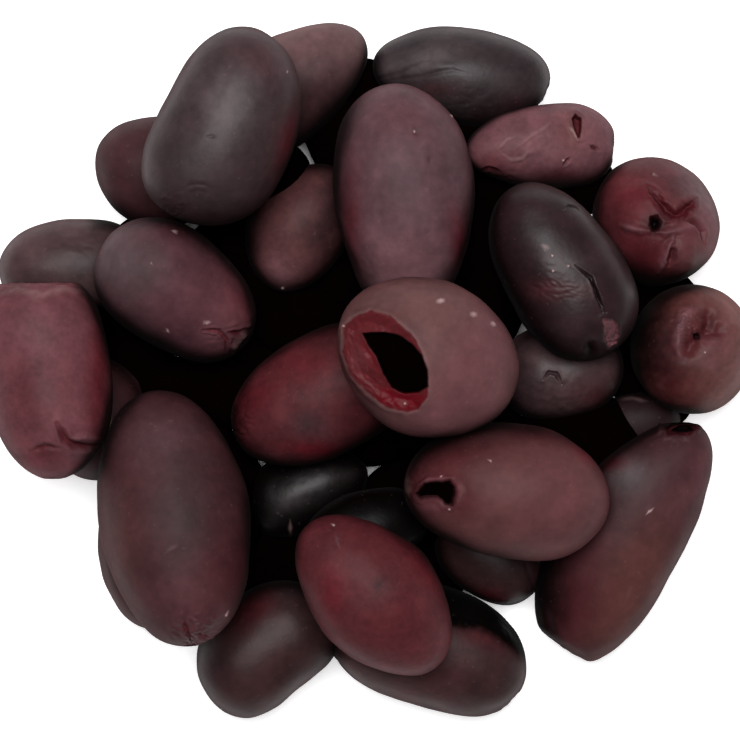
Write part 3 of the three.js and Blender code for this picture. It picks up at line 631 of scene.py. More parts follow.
# The olives that lie hidden in the heap, coloured near black as painted shade where they show in
# the gaps: x, y, heading, length, width, height of their tops.
HIDDEN_OLIVES = [
    (-14, 25.5, 0, 13, 10, 12), (4.2, 24, 92, 17, 11, 8.4), (4, 9.5, 70, 17, 11, 8),
    (27.5, -9.5, 0, 18, 13, 8.8), (15.5, 13, 100, 20, 9, 7), (27.6, 24.2, 0, 9, 8, 7),
    (38.5, -3.5, 0, 8, 8, 5), (-40.3, 4.5, 90, 14, 10, 9), (-28.6, 14, 90, 13, 12, 8),
    (-30.5, 3, 90, 13, 10, 7), (-22, -3, 0, 20, 10, 8), (-9.5, 6.5, 0, 14, 10, 7),
    (-21.4, -17, 90, 20, 16, 10), (-14.5, -25, 90, 12, 9, 6), (-3, -29, 0, 11, 10, 12),
    (3, -6, 20, 19, 12, 8), (14, -9, -40, 19, 12, 8.4), (7, -17, 10, 18, 12, 8),
    # in the gaps, where their near-black skin stands for the shade between the olives
    (-4.5, 31.5, 110, 17, 9, 7), (-18, 16, 30, 13, 10, 6), (-4, 12, 0, 9, 9, 5),
    (15.5, 23.5, 90, 14, 9, 7), (13, 31.5, 0, 11, 8, 7.5), (33.8, 0.5, 90, 10, 6, 5),
    (38, 11, -30, 12, 6, 4.5), (-15.6, 2.5, 0, 9, 7, 5), (9, -25.8, 0, 9, 8, 5),
    (-10.5, -24.5, 90, 9, 7, 5), (-14.8, 10.7, 60, 12, 8, 6), (35, 8, 90, 9, 7, 4.5),
    (-35, 7.5, 0, 9, 8, 6), (-0.8, 36.2, 80, 9, 6.5, 5), (-1, -35, 30, 9, 7, 5),
]


class OliveSettings(bpy.types.PropertyGroup):
    """Sizes and finish of the olives."""

    facets: IntProperty(
        name="Facets", description="Faces round one olive", default=88, min=24, max=200,
    )
    unevenness: FloatProperty(
        name="Unevenness", description="How far an olive swells or sinks from a smooth egg shape",
        default=0.0003, unit="LENGTH", subtype="DISTANCE", precision=6,
    )
    grain: FloatProperty(
        name="Grain", description="Height of the fine skin grain", default=0.00008,
        unit="LENGTH", subtype="DISTANCE", precision=6,
    )
    clouding: FloatProperty(
        name="Clouding", description="How unevenly the skin is coloured", default=0.16,
        min=0, max=1,
    )
    # painted shade: how strongly the skin is darkened where olives lie close together
    painted_occlusion: FloatProperty(
        name="Nestling", description="How much darker the skin is where olives lie close together",
        default=0.9, min=0, max=1,
    )
    drop_size: FloatProperty(
        name="Drop", description="Radius of a drop of brine on the skin", default=0.00013,
        unit="LENGTH", subtype="DISTANCE", precision=6,
    )


class StageSettings(bpy.types.PropertyGroup):
    """Floor, camera and lights."""

    camera_height: FloatProperty(
        name="Camera height", description="Height of the lens over the floor", default=0.42,
        unit="LENGTH", subtype="DISTANCE",
    )
    pixel: FloatProperty(
        name="Pixel", description="Width of one picture point on the plane of focus",
        default=0.000127, unit="LENGTH", subtype="DISTANCE", precision=6,
    )
    focus_plane: FloatProperty(
        name="Plane of focus", description="Height of the plane of the picture point's width",
        default=0.015, unit="LENGTH", subtype="DISTANCE", precision=4,
    )
    floor_colour: FloatVectorProperty(
        name="Floor", description="Colour of the floor", size=3, subtype="COLOR",
        default=(0.95, 0.95, 0.95), min=0, max=1,
    )
    floor_glow: FloatProperty(
        name="Floor glow", description="Light from below the floor, round the heap", default=0.5,
        min=0,
    )
    key_power: FloatProperty(
        name="Softbox", description="Power of the overhead softbox", default=11.0, unit="POWER",
    )
    sky_strength: FloatProperty(
        name="Surroundings", description="Brightness of the pale room", default=0.1, min=0,
    )


# ---------------------------------------------------------------- directions and contact


def direction(heading, rise):
    """Unit vector at a heading (anticlockwise from +X) and a rise above level, in degrees."""
    h, r = math.radians(heading), math.radians(rise)
    return np.array([math.cos(h) * math.cos(r), math.sin(h) * math.cos(r), math.sin(r)])


def turn(heading, tilt):
    """Columns: along the olive, to its side and to its top."""
    along = direction(heading, tilt)
    side = direction(heading + 90, 0)
    return np.stack([along, side, np.cross(along, side)], axis=1)


def contact_shape(row):
    """The quadric that stands for an olive in contact: its ellipsoid, less PRESS."""
    halves = np.array([row["length"], row["width"], row["width"] * row["thick"]]) / 2 - PRESS
    basis = turn(row["heading"], row["tilt"])
    return basis @ np.diag(halves**-2) @ basis.T


def face_height(shape, dx, dy, side):
    """Height of the upper (side = 1) or lower (side = -1) face over points beside the centre."""
    slope = shape[0, 2] * dx + shape[1, 2] * dy
    rest = shape[0, 0] * dx**2 + 2 * shape[0, 1] * dx * dy + shape[1, 1] * dy**2 - 1
    root = slope**2 - shape[2, 2] * rest
    height = (side * np.sqrt(np.maximum(root, 0)) - slope) / shape[2, 2]
    return np.where(root < 0, np.nan, height)


def resting_height(row, below):
    """The height at which an olive that is let down comes to lie."""
    shape = contact_shape(row)
    reach = max(row["length"], row["width"]) / 2
    steps = np.arange(-reach, reach + 1e-9, GRID)
    dx, dy = np.meshgrid(steps, steps)
    under = face_height(shape, dx, dy, -1)
    height = math.sqrt(np.linalg.inv(shape)[2, 2])
    for other in below:
        top = face_height(other["shape"], row["x"] + dx - other["x"], row["y"] + dy - other["y"], 1)
        gap = other["z"] + top - under
        if not np.all(np.isnan(gap)):
            height = max(height, float(np.nanmax(gap)))
    return height


def near_enough(one, other):
    """Whether two olives may shade each other."""
    reach = (max(one["length"], one["width"]) + max(other["length"], other["width"])) / 2
    return math.dist((one["x"], one["y"]), (other["x"], other["y"])) < reach + SHADING_GAP


def let_down(rows):
    """Lets down the olives in turn and returns them with their heights."""
    placed = []
    for number, row in enumerate(rows):
        row = dict(row, number=number)
        row["z"] = resting_height(row, placed)
        row["shape"] = contact_shape(row)
        placed.append(row)
    return placed


HEAP = let_down(OLIVES)

# ---------------------------------------------------------------- numbers for the marks


def smooth_step(low, high, value):
    share = np.clip((value - low) / (high - low), 0, 1)
    return share * share * (3 - 2 * share)


def even_directions(count):
    """Unit vectors spread evenly over a ball, by the golden angle."""
    number = np.arange(count) + 0.5
    rise = 1 - 2 * number / count
    angle = number * math.pi * (3 - math.sqrt(5))
    flat = np.sqrt(1 - rise**2)
    return np.stack([flat * np.cos(angle), flat * np.sin(angle), rise], axis=1)


def painted_occlusion(points, normals, others):
    """How far the skin at each point faces other olives, for painting shade: 0 in the open and 1
    where they press.
    """
    rays = even_directions(RAYS)
    facing = np.maximum(normals @ rays.T, 0)
    stopped = np.zeros(facing.shape)
    for other in others:
        start = points - [other["x"], other["y"], other["z"]]
        pull = start @ other["shape"]
        along = pull @ rays.T
        stretch = np.einsum("ij,jk,ik->i", rays, other["shape"], rays)
        nearest = (pull * start).sum(axis=1)[:, None] - along**2 / stretch
        ahead = smooth_step(0, SOFT_AHEAD, -along / np.sqrt(stretch))
        stopped = np.maximum(stopped, smooth_step(*SOFT_EDGE, nearest) * ahead)
    return (facing * stopped).sum(axis=1) / facing.sum(axis=1)


def soft_noise(points, size, seed):
    """Smooth noise from -1 to 1 at each point, with lumps of the given size, shifted by a seed."""
    shift = Vector((seed * 7.31, seed * 3.77, seed * 5.13))
    return np.array([noise.noise(Vector(p) / size + shift) for p in points])


def line_distance(points, line):
    """Distance in plan from each point to a line, and how far along the line its foot lies."""
    best = np.full(len(points), np.inf)
    share = np.zeros(len(points))
    total = sum(math.dist(a, b) for a, b in zip(line[:-1], line[1:]))
    gone = 0.0
    for start, finish in zip(line[:-1], line[1:]):
        a, d = np.array(start), np.array(finish) - np.array(start)
        t = np.clip(((points - a) @ d) / (d @ d), 0, 1)
        off = np.hypot(*(points - a - t[:, None] * d).T)
        share = np.where(off < best, (gone + t * math.dist(start, finish)) / total, share)
        best = np.minimum(best, off)
        gone += math.dist(start, finish)
    return best, share


def depth_inside(points, rim):
    """Distance in plan from a closed rim, positive inside it."""
    inside = np.zeros(len(points), bool)
    px, py = points.T
    for (x0, y0), (x1, y1) in zip(rim, rim[1:] + rim[:1]):
        crosses = (y0 > py) != (y1 > py)
        rise = (y1 - y0) or 1e-9
        inside ^= crosses & (px < (x1 - x0) * (py - y0) / rise + x0)
    away, _ = line_distance(points, rim + rim[:1])
    return np.where(inside, away, -away)


def patch_reach(plan, patch):
    """0 in the middle of an oval patch and 1 on its edge."""
    c, s = math.cos(math.radians(patch["turn"])), math.sin(math.radians(patch["turn"]))
    dx, dy = plan[:, 0] - patch["x"], plan[:, 1] - patch["y"]
    along, across = (dx * c + dy * s), (dy * c - dx * s)
    return np.hypot(along / (patch["length"] / 2), across / (patch["width"] / 2))


def fineness(m):
    """How often the faces under a mark are halved: soft and wide forms need it less."""
    if m["form"] == "crumple":
        grain = min(m["grain"])
        return 0 if grain >= 2 else 1 if grain >= 1 else 2
    if m["form"] == "dent":
        return 1 if min(m["length"], m["width"]) > 3 else 2
    if m["form"] == "fold":
        return min(m["fine"], 3 if m["width"] < 0.3 else 2 if m["width"] < 0.7 else 1)
    return m["fine"]


def mark_distance(plan, m, level):
    """Distance in plan from a mark, 0 inside it, but from an opening's rim at the finest level."""
    if m["form"] == "fold":
        half = m["width"] * (2 if level < 3 else 1)
        return np.maximum(line_distance(plan, m["points"])[0] - half, 0)
    if m["form"] == "mouth":
        inside = depth_inside(plan, m["rim"])
        return np.abs(inside) if level == 3 else np.maximum(-inside, 0)
    return np.maximum(patch_reach(plan, m) - 1, 0) * min(m["length"], m["width"]) / 2


# ---------------------------------------------------------------- one olive


def added(name, mesh, material):
    """Puts a mesh in the scene with its material."""
    mesh.materials.append(material)
    obj = bpy.data.objects.new(name, mesh)
    bpy.context.scene.collection.objects.link(obj)
    return obj


def egg_points(row, unit):
    """Moves points of a unit ball to the olive's own egg shape, with its ends cut off."""
    t = np.clip(unit[:, 2], -1, 1)
    rounded = np.sqrt(np.maximum(1 - t**2, 1e-12))
    roundness = np.where(t > 0, row["front"], row["back"])
    radius = np.sqrt(np.maximum(1 - np.abs(t) ** roundness, 0)) * (1 - row["taper"] * t) / rounded
    half = row["width"] / 2
    local = np.stack([
        t * row["length"] / 2,
        unit[:, 0] * radius * half + row["bend"] * (t**2 - 1 / 3),
        unit[:, 1] * radius * half * row["thick"],
    ], axis=1)
    points = local @ turn(row["heading"], row["tilt"]).T
    for number, cut in enumerate(row["ends"]):
        face = direction(cut["heading"], cut["rise"])
        beyond = points @ face - cut["at"]
        ragged = soft_noise(points, 1.3, number + 70) * cut["rough"]
        soft = cut["shoulder"]
        kept = soft * (1 - np.exp(-np.maximum(beyond, 0) / soft))
        kept += ragged * smooth_step(0, 0.5, beyond)
        points = np.where((beyond > 0)[:, None], points + face * (kept - beyond)[:, None], points)
    return points


def egg_mesh(row, facets):
    """A ball with finer faces where a mark needs them, moved to the egg shape."""
    bm = bmesh.new()
    rings = int(facets * RING_SHARE)
    bmesh.ops.create_uvsphere(bm, u_segments=facets, v_segments=rings, radius=1.0)
    for level, reach in enumerate(FINE_REACH, start=1):
        marks = [m for m in row["marks"] if fineness(m) >= level]
        drops = row["drops"] if level > 1 else ()
        if not marks and not drops:
            continue
        bm.verts.index_update()
        unit = np.array([v.co for v in bm.verts])
        place = egg_points(row, unit)
        near = np.full(len(unit), np.inf)
        for m in marks:
            near = np.minimum(near, mark_distance(place[:, :2], m, level))
        for drop in drops:
            near = np.minimum(near, np.hypot(*(place[:, :2] - drop).T))
        wanted = (near < reach) & (place[:, 2] > -0.5)
        edges = [e for e in bm.edges if wanted[e.verts[0].index] and wanted[e.verts[1].index]]
        bmesh.ops.subdivide_edges(bm, edges=edges, cuts=1, use_grid_fill=True)
        for v in bm.verts:
            v.co.normalize()
    unit = np.array([v.co for v in bm.verts])
    for v, spot in zip(bm.verts, egg_points(row, unit)):
        v.co = spot
    for f in bm.faces:
        f.smooth = True
    mesh = bpy.data.meshes.new("olive")
    bm.to_mesh(mesh)
    bm.free()
    return mesh


def linear(tone):
    """A named colour as light."""
    share = np.array(TONES[tone]) / 255
    return np.where(share <= 0.04045, share / 12.92, ((share + 0.055) / 1.055) ** 2.4)


def blend(colour, tone, mask):
    return colour + (linear(tone) - colour) * mask[:, None]


def press_mark(row, m, home, up):
    """How far a mark lifts the skin along its normal and sinks it straight down.

    The last two results are the masks of its colour and of the rim of an opening.
    """
    plan = home[:, :2]
    still = np.zeros(len(home))
    if m["form"] == "mouth":
        shake = np.stack([soft_noise(home, 0.7, row["number"] + k) for k in (11, 12)], axis=1)
        inside = depth_inside(plan + shake * m["ragged"], m["rim"])
        sink = m["depth"] * smooth_step(-0.05, m["wall"], inside) * up
        lift = m["lip"] * np.exp(-(((inside + 0.3) / 0.35) ** 2)) * up
        mask = smooth_step(-m["blur"], m["blur"] + 0.04, inside) * up
        if m["grit"]:
            lift = lift + m["grit"] * soft_noise(home, 0.55, row["number"] + 21) * mask
        return lift, sink, mask, np.exp(-(((inside + 0.12) / 0.2) ** 2)) * up
    if m["form"] == "fold":
        off, share = line_distance(plan, m["points"])
        force = 0.3 + 0.7 * smooth_step(0, 0.3, share) * smooth_step(1, 0.7, share)
        wander = 1 + 0.35 * soft_noise(home, 1.0, row["number"] + 31)
        off = off / (m["width"] * (0.4 + 0.6 * force) * wander)
        groove = np.exp(-(off**2)) * force
        lift = m["lip"] * np.exp(-((off - 1.8) ** 2) / 0.6) * force - groove
        return lift * m["depth"] * up, still, groove * up, still
    reach = patch_reach(plan, m)
    if m["form"] == "dent":
        shape = np.exp(-(reach ** m["edge"]) * 1.2) * up
        return -m["depth"] * shape, still, shape, still
    c, s = math.cos(math.radians(m["turn"])), math.sin(math.radians(m["turn"]))
    turned = home @ np.array([[c, -s, 0], [s, c, 0], [0, 0, 1]]) / [*m["grain"], 3.0]
    ripple = soft_noise(turned, 1.0, row["number"] + 40)
    finer = soft_noise(turned, 0.45, row["number"] + 41)
    shape = np.exp(-(reach**4)) * up
    return m["depth"] * (2 * np.abs(ripple) - 0.6 + 0.5 * finer) * shape, still, shape, still


def painted_skin(row, home, normals, up):
    """The skin's colour before its marks: plain, redder on the sides as a painted glow, with its
    colour patches, some of them painted shade, sheen or glow.
    """
    number = row["number"]
    colour = np.tile(linear(row["tone"]), (len(home), 1))
    # painted glow: the sides turn towards crimson, for light shining through the red flesh
    sides = smooth_step(0.75, 0.0, normals[:, 2]) * row["blush"]
    colour = blend(colour, "crimson", sides * 0.5)
    frayed = 0.25 * soft_noise(home, 1.9, number + 51) + 0.18 * soft_noise(home, 0.8, number + 52)
    for patch in row["stains"]:
        if patch["tone"] != "wet_flesh":
            reach = np.maximum(patch_reach(home[:, :2], patch) + frayed, 0)
            colour = blend(colour, patch["tone"], np.exp(-(reach**2)) * patch["strength"] * up)
    return colour


def shaded_by_others(row, home, normals, colour, strength):
    """Paints shade: darkens the flanks where other olives lie close to them."""
    others = [o for o in HEAP if o["number"] != row["number"] and near_enough(o, row)]
    hemmed = painted_occlusion(home + [row["x"], row["y"], row["z"]], normals, others)
    flank = 1 - 0.8 * smooth_step(0.35, 0.85, normals[:, 2])
    return colour * (1 - strength * flank * smooth_step(0.05, 0.52, hemmed))[:, None]


def build_olive(row, material):
    """Makes one olive: its shape, its marks and the colour of every point of its skin."""
    settings = bpy.context.scene.olive_settings
    hidden = row["kind"] == "hidden"
    mesh = egg_mesh(row, settings.facets // 2 if hidden else settings.facets)
    number, count = row["number"], len(mesh.vertices)
    home, normals = np.zeros(count * 3), np.zeros(count * 3)
    mesh.vertices.foreach_get("co", home)
    mesh.vertices.foreach_get("normal", normals)
    home, normals = home.reshape(-1, 3), normals.reshape(-1, 3)
    up = np.clip((normals[:, 2] - 0.03) / 0.15, 0, 1)

    lift = soft_noise(home, 8.0, number + 1) + 0.35 * soft_noise(home, 3.0, number + 2)
    lift *= settings.unevenness / MM
    sink = np.zeros(count)
    wet = np.zeros(count)
    colour = painted_skin(row, home, normals, up)
    for m in row["marks"]:
        raised, sunk, mask, ring = press_mark(row, m, home, up)
        lift, sink = lift + raised, sink + sunk
        if m["edge"] and m["form"] == "mouth":
            colour = blend(colour, "pale", ring * m["edge"])
        if m["form"] == "mouth":
            wet = wet + (m["flesh"] - wet) * mask
        else:
            wet = np.maximum(wet, mask * m["flesh"])
        # a mark's tone may be painted shade or a painted highlight, as said where the mark is given
        if m["tone"]:
            colour = blend(colour, m["tone"], mask * m["strength"])
    for patch in row["stains"]:
        if patch["tone"] == "wet_flesh":
            mask = np.exp(-(patch_reach(home[:, :2], patch) ** 4)) * patch["strength"]
            colour = blend(colour, patch["tone"], mask * np.clip(wet * 2, 0, 1))
    # painted shade where other olives hem the skin in
    if not hidden:
        colour = shaded_by_others(row, home, normals, colour, settings.painted_occlusion)
    cloud = soft_noise(home, 2.6, number + 61) + 0.7 * soft_noise(home, 1.1, number + 62)
    colour = colour * (1 + settings.clouding * cloud[:, None])
    # painted glint: besides its small bump, each drop is coloured pale as if it caught the light
    for drop in row["drops"]:
        off = np.hypot(*(home[:, :2] - drop).T) / (settings.drop_size / MM)
        bead_and_glint = np.exp(-(off**3)) * up
        lift = lift + DROP_HEIGHT * bead_and_glint
        colour = blend(colour, "drop", bead_and_glint)

    points = home + normals * lift[:, None]
    points[:, 2] -= sink
    points += [row["x"], row["y"], row["z"]]
    points[:, 2] = np.maximum(points[:, 2], 0)
    mesh.vertices.foreach_set("co", (points * MM).ravel())
    tone = mesh.color_attributes.new("tone", "FLOAT_COLOR", "POINT")
    tone.data.foreach_set("color", np.hstack([colour, np.ones((count, 1))]).ravel())
    for name, values in (("flesh", wet), ("dull", smooth_step(0.6, 0.1, normals[:, 2]))):
        mesh.attributes.new(name, "FLOAT", "POINT").data.foreach_set("value", values)
    mesh.update()
    return added("olive", mesh, material)


def hole_shadow_plug(row, m, material):
    """A near-black plug of painted shade that closes a deep opening just under its rim, where its
    wall slopes in.
    """
    view = bpy.context.evaluated_depsgraph_get()
    middle = np.mean(m["rim"], axis=0)
    rim = []
    for spot in np.array(m["rim"]):
        out = (spot - middle) / math.dist(spot, middle)
        lip = spot + out * 0.3
        start = Vector(((row["x"] + lip[0]) * MM, (row["y"] + lip[1]) * MM, 0.06))
        hit, place = bpy.context.scene.ray_cast(view, start, Vector((0, 0, -1)))[:2]
        height = max(place.z / MM, row["z"]) if hit else row["z"]
        inner = spot - out * m["wall"] / 2
        rim.append((row["x"] + inner[0], row["y"] + inner[1], height - PLUG_DEPTH))
    bm = bmesh.new()
    top = bm.faces.new([bm.verts.new(Vector(p) * MM) for p in rim])
    base = bmesh.ops.extrude_face_region(bm, geom=[top])
    for v in [g for g in base["geom"] if isinstance(g, bmesh.types.BMVert)]:
        v.co.z -= PLUG_THICKNESS * MM
    bmesh.ops.triangulate(bm, faces=bm.faces[:])
    bmesh.ops.recalc_face_normals(bm, faces=bm.faces[:])
    mesh = bpy.data.meshes.new("hole")
    bm.to_mesh(mesh)
    bm.free()
    return added("hole", mesh, material)


def join_as(objects, name):
    """Joins olives of a kind to one piece that rides on the heap's body."""
    with bpy.context.temp_override(active_object=objects[0], selected_editable_objects=objects):
        bpy.ops.object.join()
    piece = objects[0]
    piece.name = name
    piece.data.name = name
    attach(piece, "root")
    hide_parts(HEAP_NODE)
    return piece


# ---------------------------------------------------------------- materials

FLECK_COLOUR = (0.02, 0.012, 0.012)  # added to the skin's own colour
FLESH_ROUGHNESS = 0.4
FLANK_ROUGHNESS = 0.9
LIT_FROM, LIT_FULLY = 0.031, 0.036  # where the floor round the heap begins to be lit from below


def skin_grain_group():
    """Mottling, fine flecks and the height of the skin's grain, from the olive's own place."""
    name = "Skin grain"
    if name in bpy.data.node_groups:
        return bpy.data.node_groups[name]
    group = bpy.data.node_groups.new(name, "ShaderNodeTree")
    face = group.interface
    face.new_socket("Size", in_out="INPUT", socket_type="NodeSocketFloat").default_value = 1.0
    face.new_socket("Mottle", in_out="OUTPUT", socket_type="NodeSocketFloat")
    face.new_socket("Flecks", in_out="OUTPUT", socket_type="NodeSocketFloat")
    face.new_socket("Height", in_out="OUTPUT", socket_type="NodeSocketFloat")
    nodes, links = group.nodes, group.links
    enter = nodes.new("NodeGroupInput")
    leave = nodes.new("NodeGroupOutput")
    place = nodes.new("ShaderNodeTexCoord")
    scaled = nodes.new("ShaderNodeVectorMath")
    scaled.operation = "SCALE"
    links.new(place.outputs["Object"], scaled.inputs[0])
    links.new(enter.outputs["Size"], scaled.inputs["Scale"])

    def noise_of(scale, detail):
        node = nodes.new("ShaderNodeTexNoise")
        node.inputs["Scale"].default_value = scale
        node.inputs["Detail"].default_value = detail
        links.new(scaled.outputs[0], node.inputs["Vector"])
        return node.outputs["Fac"]

    def weighed(value, weight, rest):
        node = nodes.new("ShaderNodeMath")
        node.operation = "MULTIPLY_ADD"
        node.inputs[1].default_value = weight
        links.new(value, node.inputs[0])
        links.new(rest, node.inputs[2])
        return node.outputs[0]

    links.new(weighed(noise_of(1300, 3), 0.6, noise_of(230, 5)), leave.inputs["Mottle"])
    flecks = nodes.new("ShaderNodeMapRange")
    flecks.interpolation_type = "SMOOTHSTEP"
    flecks.inputs["From Min"].default_value = 0.66
    flecks.inputs["From Max"].default_value = 0.78
    links.new(noise_of(1900, 2), flecks.inputs["Value"])
    links.new(flecks.outputs["Result"], leave.inputs["Flecks"])
    links.new(weighed(noise_of(2200, 3), 0.35, noise_of(520, 3)), leave.inputs["Height"])
    return group


def skin_material(name, roughness, sheen, mottle, size, flecked_by=1.0):
    """Moist olive skin: the painted colour, mottled and flecked, with a fine grain.

    size is how fine the grain is, and flecked_by is how strongly its flecks show.
    """
    settings = bpy.context.scene.olive_settings
    material = bpy.data.materials.new(name)
    material.use_nodes = True
    nodes, links = material.node_tree.nodes, material.node_tree.links
    shader = nodes["Principled BSDF"]
    shader.inputs["IOR"].default_value = 1.4
    shader.inputs["Specular IOR Level"].default_value = sheen

    tone = nodes.new("ShaderNodeAttribute")
    tone.attribute_name = "tone"
    flesh = nodes.new("ShaderNodeAttribute")
    flesh.attribute_name = "flesh"
    grain = nodes.new("ShaderNodeGroup")
    grain.node_tree = skin_grain_group()
    grain.inputs["Size"].default_value = size

    shade = nodes.new("ShaderNodeMapRange")
    shade.inputs["From Min"].default_value = 0.55
    shade.inputs["From Max"].default_value = 1.05
    shade.inputs["To Min"].default_value = 1 - mottle
    shade.inputs["To Max"].default_value = 1 + mottle
    links.new(grain.outputs["Mottle"], shade.inputs["Value"])
    mottled = nodes.new("ShaderNodeVectorMath")
    mottled.operation = "SCALE"
    links.new(tone.outputs["Color"], mottled.inputs[0])
    links.new(shade.outputs["Result"], mottled.inputs["Scale"])
    flecked = nodes.new("ShaderNodeMix")
    flecked.data_type = "RGBA"
    flecked.blend_type = "ADD"
    flecked.inputs["B"].default_value = (*(share * flecked_by for share in FLECK_COLOUR), 1)
    links.new(grain.outputs["Flecks"], flecked.inputs["Factor"])
    links.new(mottled.outputs[0], flecked.inputs["A"])
    links.new(flecked.outputs["Result"], shader.inputs["Base Color"])

    rough = nodes.new("ShaderNodeMapRange")
    rough.inputs["To Min"].default_value = roughness
    rough.inputs["To Max"].default_value = FLESH_ROUGHNESS
    links.new(flesh.outputs["Fac"], rough.inputs["Value"])
    dull = nodes.new("ShaderNodeAttribute")
    dull.attribute_name = "dull"
    flank = nodes.new("ShaderNodeMapRange")
    flank.inputs["To Max"].default_value = FLANK_ROUGHNESS
    links.new(dull.outputs["Fac"], flank.inputs["Value"])
    links.new(rough.outputs["Result"], flank.inputs["To Min"])
    links.new(flank.outputs["Result"], shader.inputs["Roughness"])

    relief = nodes.new("ShaderNodeBump")
    relief.inputs["Strength"].default_value = 0.6
    relief.inputs["Distance"].default_value = settings.grain
    links.new(grain.outputs["Height"], relief.inputs["Height"])
    links.new(relief.outputs["Normal"], shader.inputs["Normal"])
    return material


def floor_material(colour, glow):
    """Pale floor, lit from below except under the heap, so that hardly a shadow shows round it."""
    material = bpy.data.materials.new("Pale floor")
    material.use_nodes = True
    nodes, links = material.node_tree.nodes, material.node_tree.links
    shader = nodes["Principled BSDF"]
    shader.inputs["Base Color"].default_value = (*colour, 1)
    shader.inputs["Roughness"].default_value = 0.8
    shader.inputs["Emission Strength"].default_value = glow
    place = nodes.new("ShaderNodeTexCoord")
    reach = nodes.new("ShaderNodeVectorMath")
    reach.operation = "LENGTH"
    links.new(place.outputs["Object"], reach.inputs[0])
    lit = nodes.new("ShaderNodeMapRange")
    lit.interpolation_type = "SMOOTHSTEP"
    lit.inputs["From Min"].default_value = LIT_FROM
    lit.inputs["From Max"].default_value = LIT_FULLY
    links.new(reach.outputs["Value"], lit.inputs["Value"])
    links.new(lit.outputs["Result"], shader.inputs["Emission Color"])
    return material


# ---------------------------------------------------------------- operators

FLOOR_HALF = 2.5
SOFTBOX_SIZE = 0.6
SOFTBOX_PLACE = (-0.04, 0.2, 0.9)
SENSOR = 36  # the sensor's width in mm
HALF_PICTURE = 370  # half the picture's width in picture points

def add_kind(kind, name, skin):
    join_as([build_olive(row, skin) for row in HEAP if row["kind"] == kind], name)


class OLIVES_OT_black(bpy.types.Operator):
    """Adds the black olives"""

    bl_idname = "olives.black"
    bl_label = "Black olives"

    def execute(self, context):
        skin = skin_material("Black skin", 0.42, 0.26, 0.3, 1.0)
        add_kind("black", "black_olives", skin)
        return {"FINISHED"}


class OLIVES_OT_grey(bpy.types.Operator):
    """Adds the dark grey-brown olives"""

    bl_idname = "olives.grey"
    bl_label = "Grey-brown olives"

    def execute(self, context):
        skin = skin_material("Grey-brown skin", 0.45, 0.2, 0.25, 0.9)
        add_kind("grey", "grey_brown_olives", skin)
        return {"FINISHED"}


class OLIVES_OT_purple(bpy.types.Operator):
    """Adds the purple olives"""

    bl_idname = "olives.purple"
    bl_label = "Purple olives"

    def execute(self, context):
        skin = skin_material("Purple skin", 0.55, 0.16, 0.22, 0.8)
        add_kind("purple", "purple_olives", skin)
        return {"FINISHED"}


class OLIVES_OT_red(bpy.types.Operator):
    """Adds the red-brown olives"""

    bl_idname = "olives.red"
    bl_label = "Red-brown olives"

    def execute(self, context):
        skin = skin_material("Red-brown skin", 0.52, 0.14, 0.25, 1.1)
        add_kind("red", "red_brown_olives", skin)
        return {"FINISHED"}


class OLIVES_OT_opened(bpy.types.Operator):
    """Adds the olives that stand on end and show the cross torn in by the stoner"""

    bl_idname = "olives.opened"
    bl_label = "Opened olives"

    def execute(self, context):
        skin = skin_material("Opened skin", 0.5, 0.18, 0.25, 1.0)
        add_kind("opened", "opened_olives", skin)
        return {"FINISHED"}


class OLIVES_OT_brown(bpy.types.Operator):
    """Adds the brown olives"""

    bl_idname = "olives.brown"
    bl_label = "Brown olives"

    def execute(self, context):
        skin = skin_material("Brown skin", 0.55, 0.14, 0.16, 0.9)
        add_kind("brown", "brown_olives", skin)
        return {"FINISHED"}


class OLIVES_OT_hole_shadows(bpy.types.Operator):
    """Adds the near-black plugs of painted shade in the stone holes, once the olives stand"""

    bl_idname = "olives.holes"
    bl_label = "Stone holes"

    def execute(self, context):
        # painted shade: a black, sheenless finish for the plugs
        dark = skin_material("Stone hole", 0.9, 0.0, 0.1, 1.0, 0.0)
        objects = [
            hole_shadow_plug(row, m, dark)
            for row in HEAP for m in row["marks"]
            if m["form"] == "mouth" and m["depth"] > PLUGGED
        ]
        if not objects:
            raise RuntimeError("no olive has a deep opening")
        for obj in objects:
            count = len(obj.data.vertices)
            tone = obj.data.color_attributes.new("tone", "FLOAT_COLOR", "POINT")
            tone.data.foreach_set("color", np.tile([*linear("deep"), 1], (count, 1)).ravel())
            for name in ("flesh", "dull"):
                obj.data.attributes.new(name, "FLOAT", "POINT")
        join_as(objects, "stone_holes")
        return {"FINISHED"}


class OLIVES_OT_hidden(bpy.types.Operator):
    """Adds the olives that lie hidden under the others, near black and without sheen, as painted
    shade
    """

    bl_idname = "olives.hidden"
    bl_label = "Hidden olives"

    def execute(self, context):
        skin = skin_material("Hidden skin", 0.9, 0.0, 0.2, 1.0, 0.0)
        objects = []
        for number, (*plan, width, top) in enumerate(HIDDEN_OLIVES, start=60):
            thick = (top + PRESS) / width
            row = olive("hidden", "deep", *plan, width, thick=thick, blush=0.0)
            row.update(number=number, z=(top - PRESS) / 2)
            objects.append(build_olive(row, skin))
        join_as(objects, "hidden_olives")
        return {"FINISHED"}


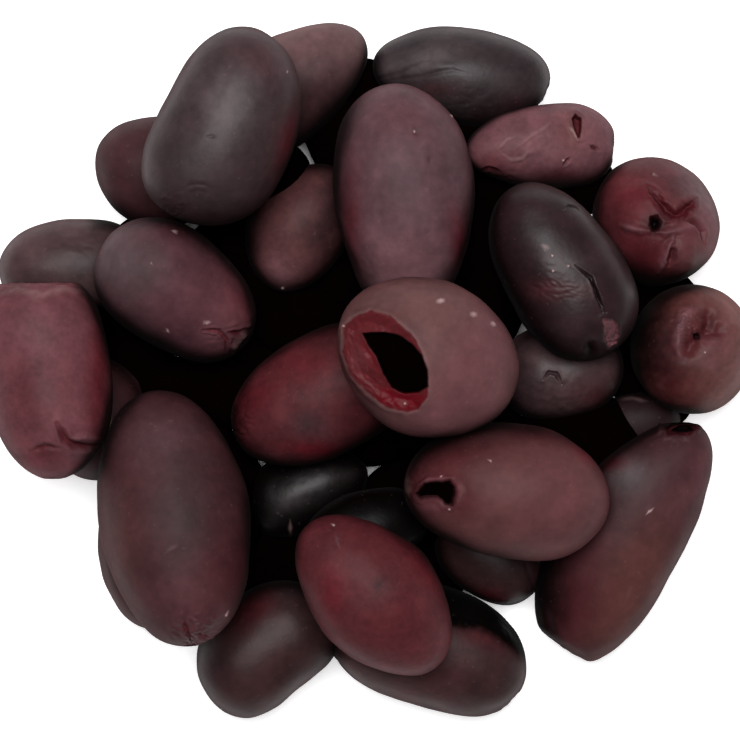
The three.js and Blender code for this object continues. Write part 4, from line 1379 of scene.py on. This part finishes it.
class OLIVES_OT_stage(bpy.types.Operator):
    """Adds the floor, the lights and the camera"""

    bl_idname = "olives.stage"
    bl_label = "Stage"

    def execute(self, context):
        stage = context.scene.stage_settings
        link = context.scene.collection.objects.link
        bm = bmesh.new()
        bmesh.ops.create_grid(bm, x_segments=1, y_segments=1, size=FLOOR_HALF)
        mesh = bpy.data.meshes.new("floor")
        bm.to_mesh(mesh)
        bm.free()
        added("floor", mesh, floor_material(stage.floor_colour, stage.floor_glow))

        world = bpy.data.worlds.new("Pale room")
        world.use_nodes = True
        backdrop = world.node_tree.nodes["Background"]
        backdrop.inputs["Color"].default_value = (1, 1, 1, 1)
        backdrop.inputs["Strength"].default_value = stage.sky_strength
        context.scene.world = world

        lamp = bpy.data.lights.new("softbox", "AREA")
        lamp.shape = "DISK"
        lamp.size = SOFTBOX_SIZE
        lamp.energy = stage.key_power
        softbox = bpy.data.objects.new("softbox", lamp)
        softbox.location = SOFTBOX_PLACE
        softbox.rotation_euler = (-softbox.location).to_track_quat("-Z", "Y").to_euler()
        link(softbox)

        lens = bpy.data.cameras.new("camera")
        lens.sensor_width = SENSOR
        span = HALF_PICTURE * stage.pixel / (stage.camera_height - stage.focus_plane)
        lens.lens = SENSOR / 2 / span
        lens.clip_start = 0.01
        camera = bpy.data.objects.new("camera", lens)
        camera.location = (0, 0, stage.camera_height)
        link(camera)
        context.scene.camera = camera
        context.scene.view_settings.view_transform = "Standard"
        return {"FINISHED"}


OPERATORS = (
    OLIVES_OT_stage,
    OLIVES_OT_hidden,
    OLIVES_OT_black,
    OLIVES_OT_grey,
    OLIVES_OT_purple,
    OLIVES_OT_red,
    OLIVES_OT_opened,
    OLIVES_OT_brown,
    OLIVES_OT_hole_shadows,
)


class OLIVES_PT_panel(bpy.types.Panel):
    """Lists the olives' settings and operators"""

    bl_idname = "OLIVES_PT_panel"
    bl_label = "Olives"
    bl_space_type = "VIEW_3D"
    bl_region_type = "UI"
    bl_category = "Olives"

    def draw(self, context):
        for settings in (context.scene.olive_settings, context.scene.stage_settings):
            for name in settings.__annotations__:
                self.layout.prop(settings, name)
        for operator in OPERATORS:
            self.layout.operator(operator.bl_idname)


CLASSES = (OliveSettings, StageSettings, *OPERATORS, OLIVES_PT_panel)


def register():
    for cls in CLASSES:
        bpy.utils.register_class(cls)
    bpy.types.Scene.olive_settings = PointerProperty(type=OliveSettings)
    bpy.types.Scene.stage_settings = PointerProperty(type=StageSettings)


def unregister():
    del bpy.types.Scene.stage_settings
    del bpy.types.Scene.olive_settings
    for cls in reversed(CLASSES):
        bpy.utils.unregister_class(cls)


def main():
    register()
    for operator in OPERATORS:
        family, name = operator.bl_idname.split(".")
        getattr(getattr(bpy.ops, family), name)()


if __name__ == "__main__":
    main()
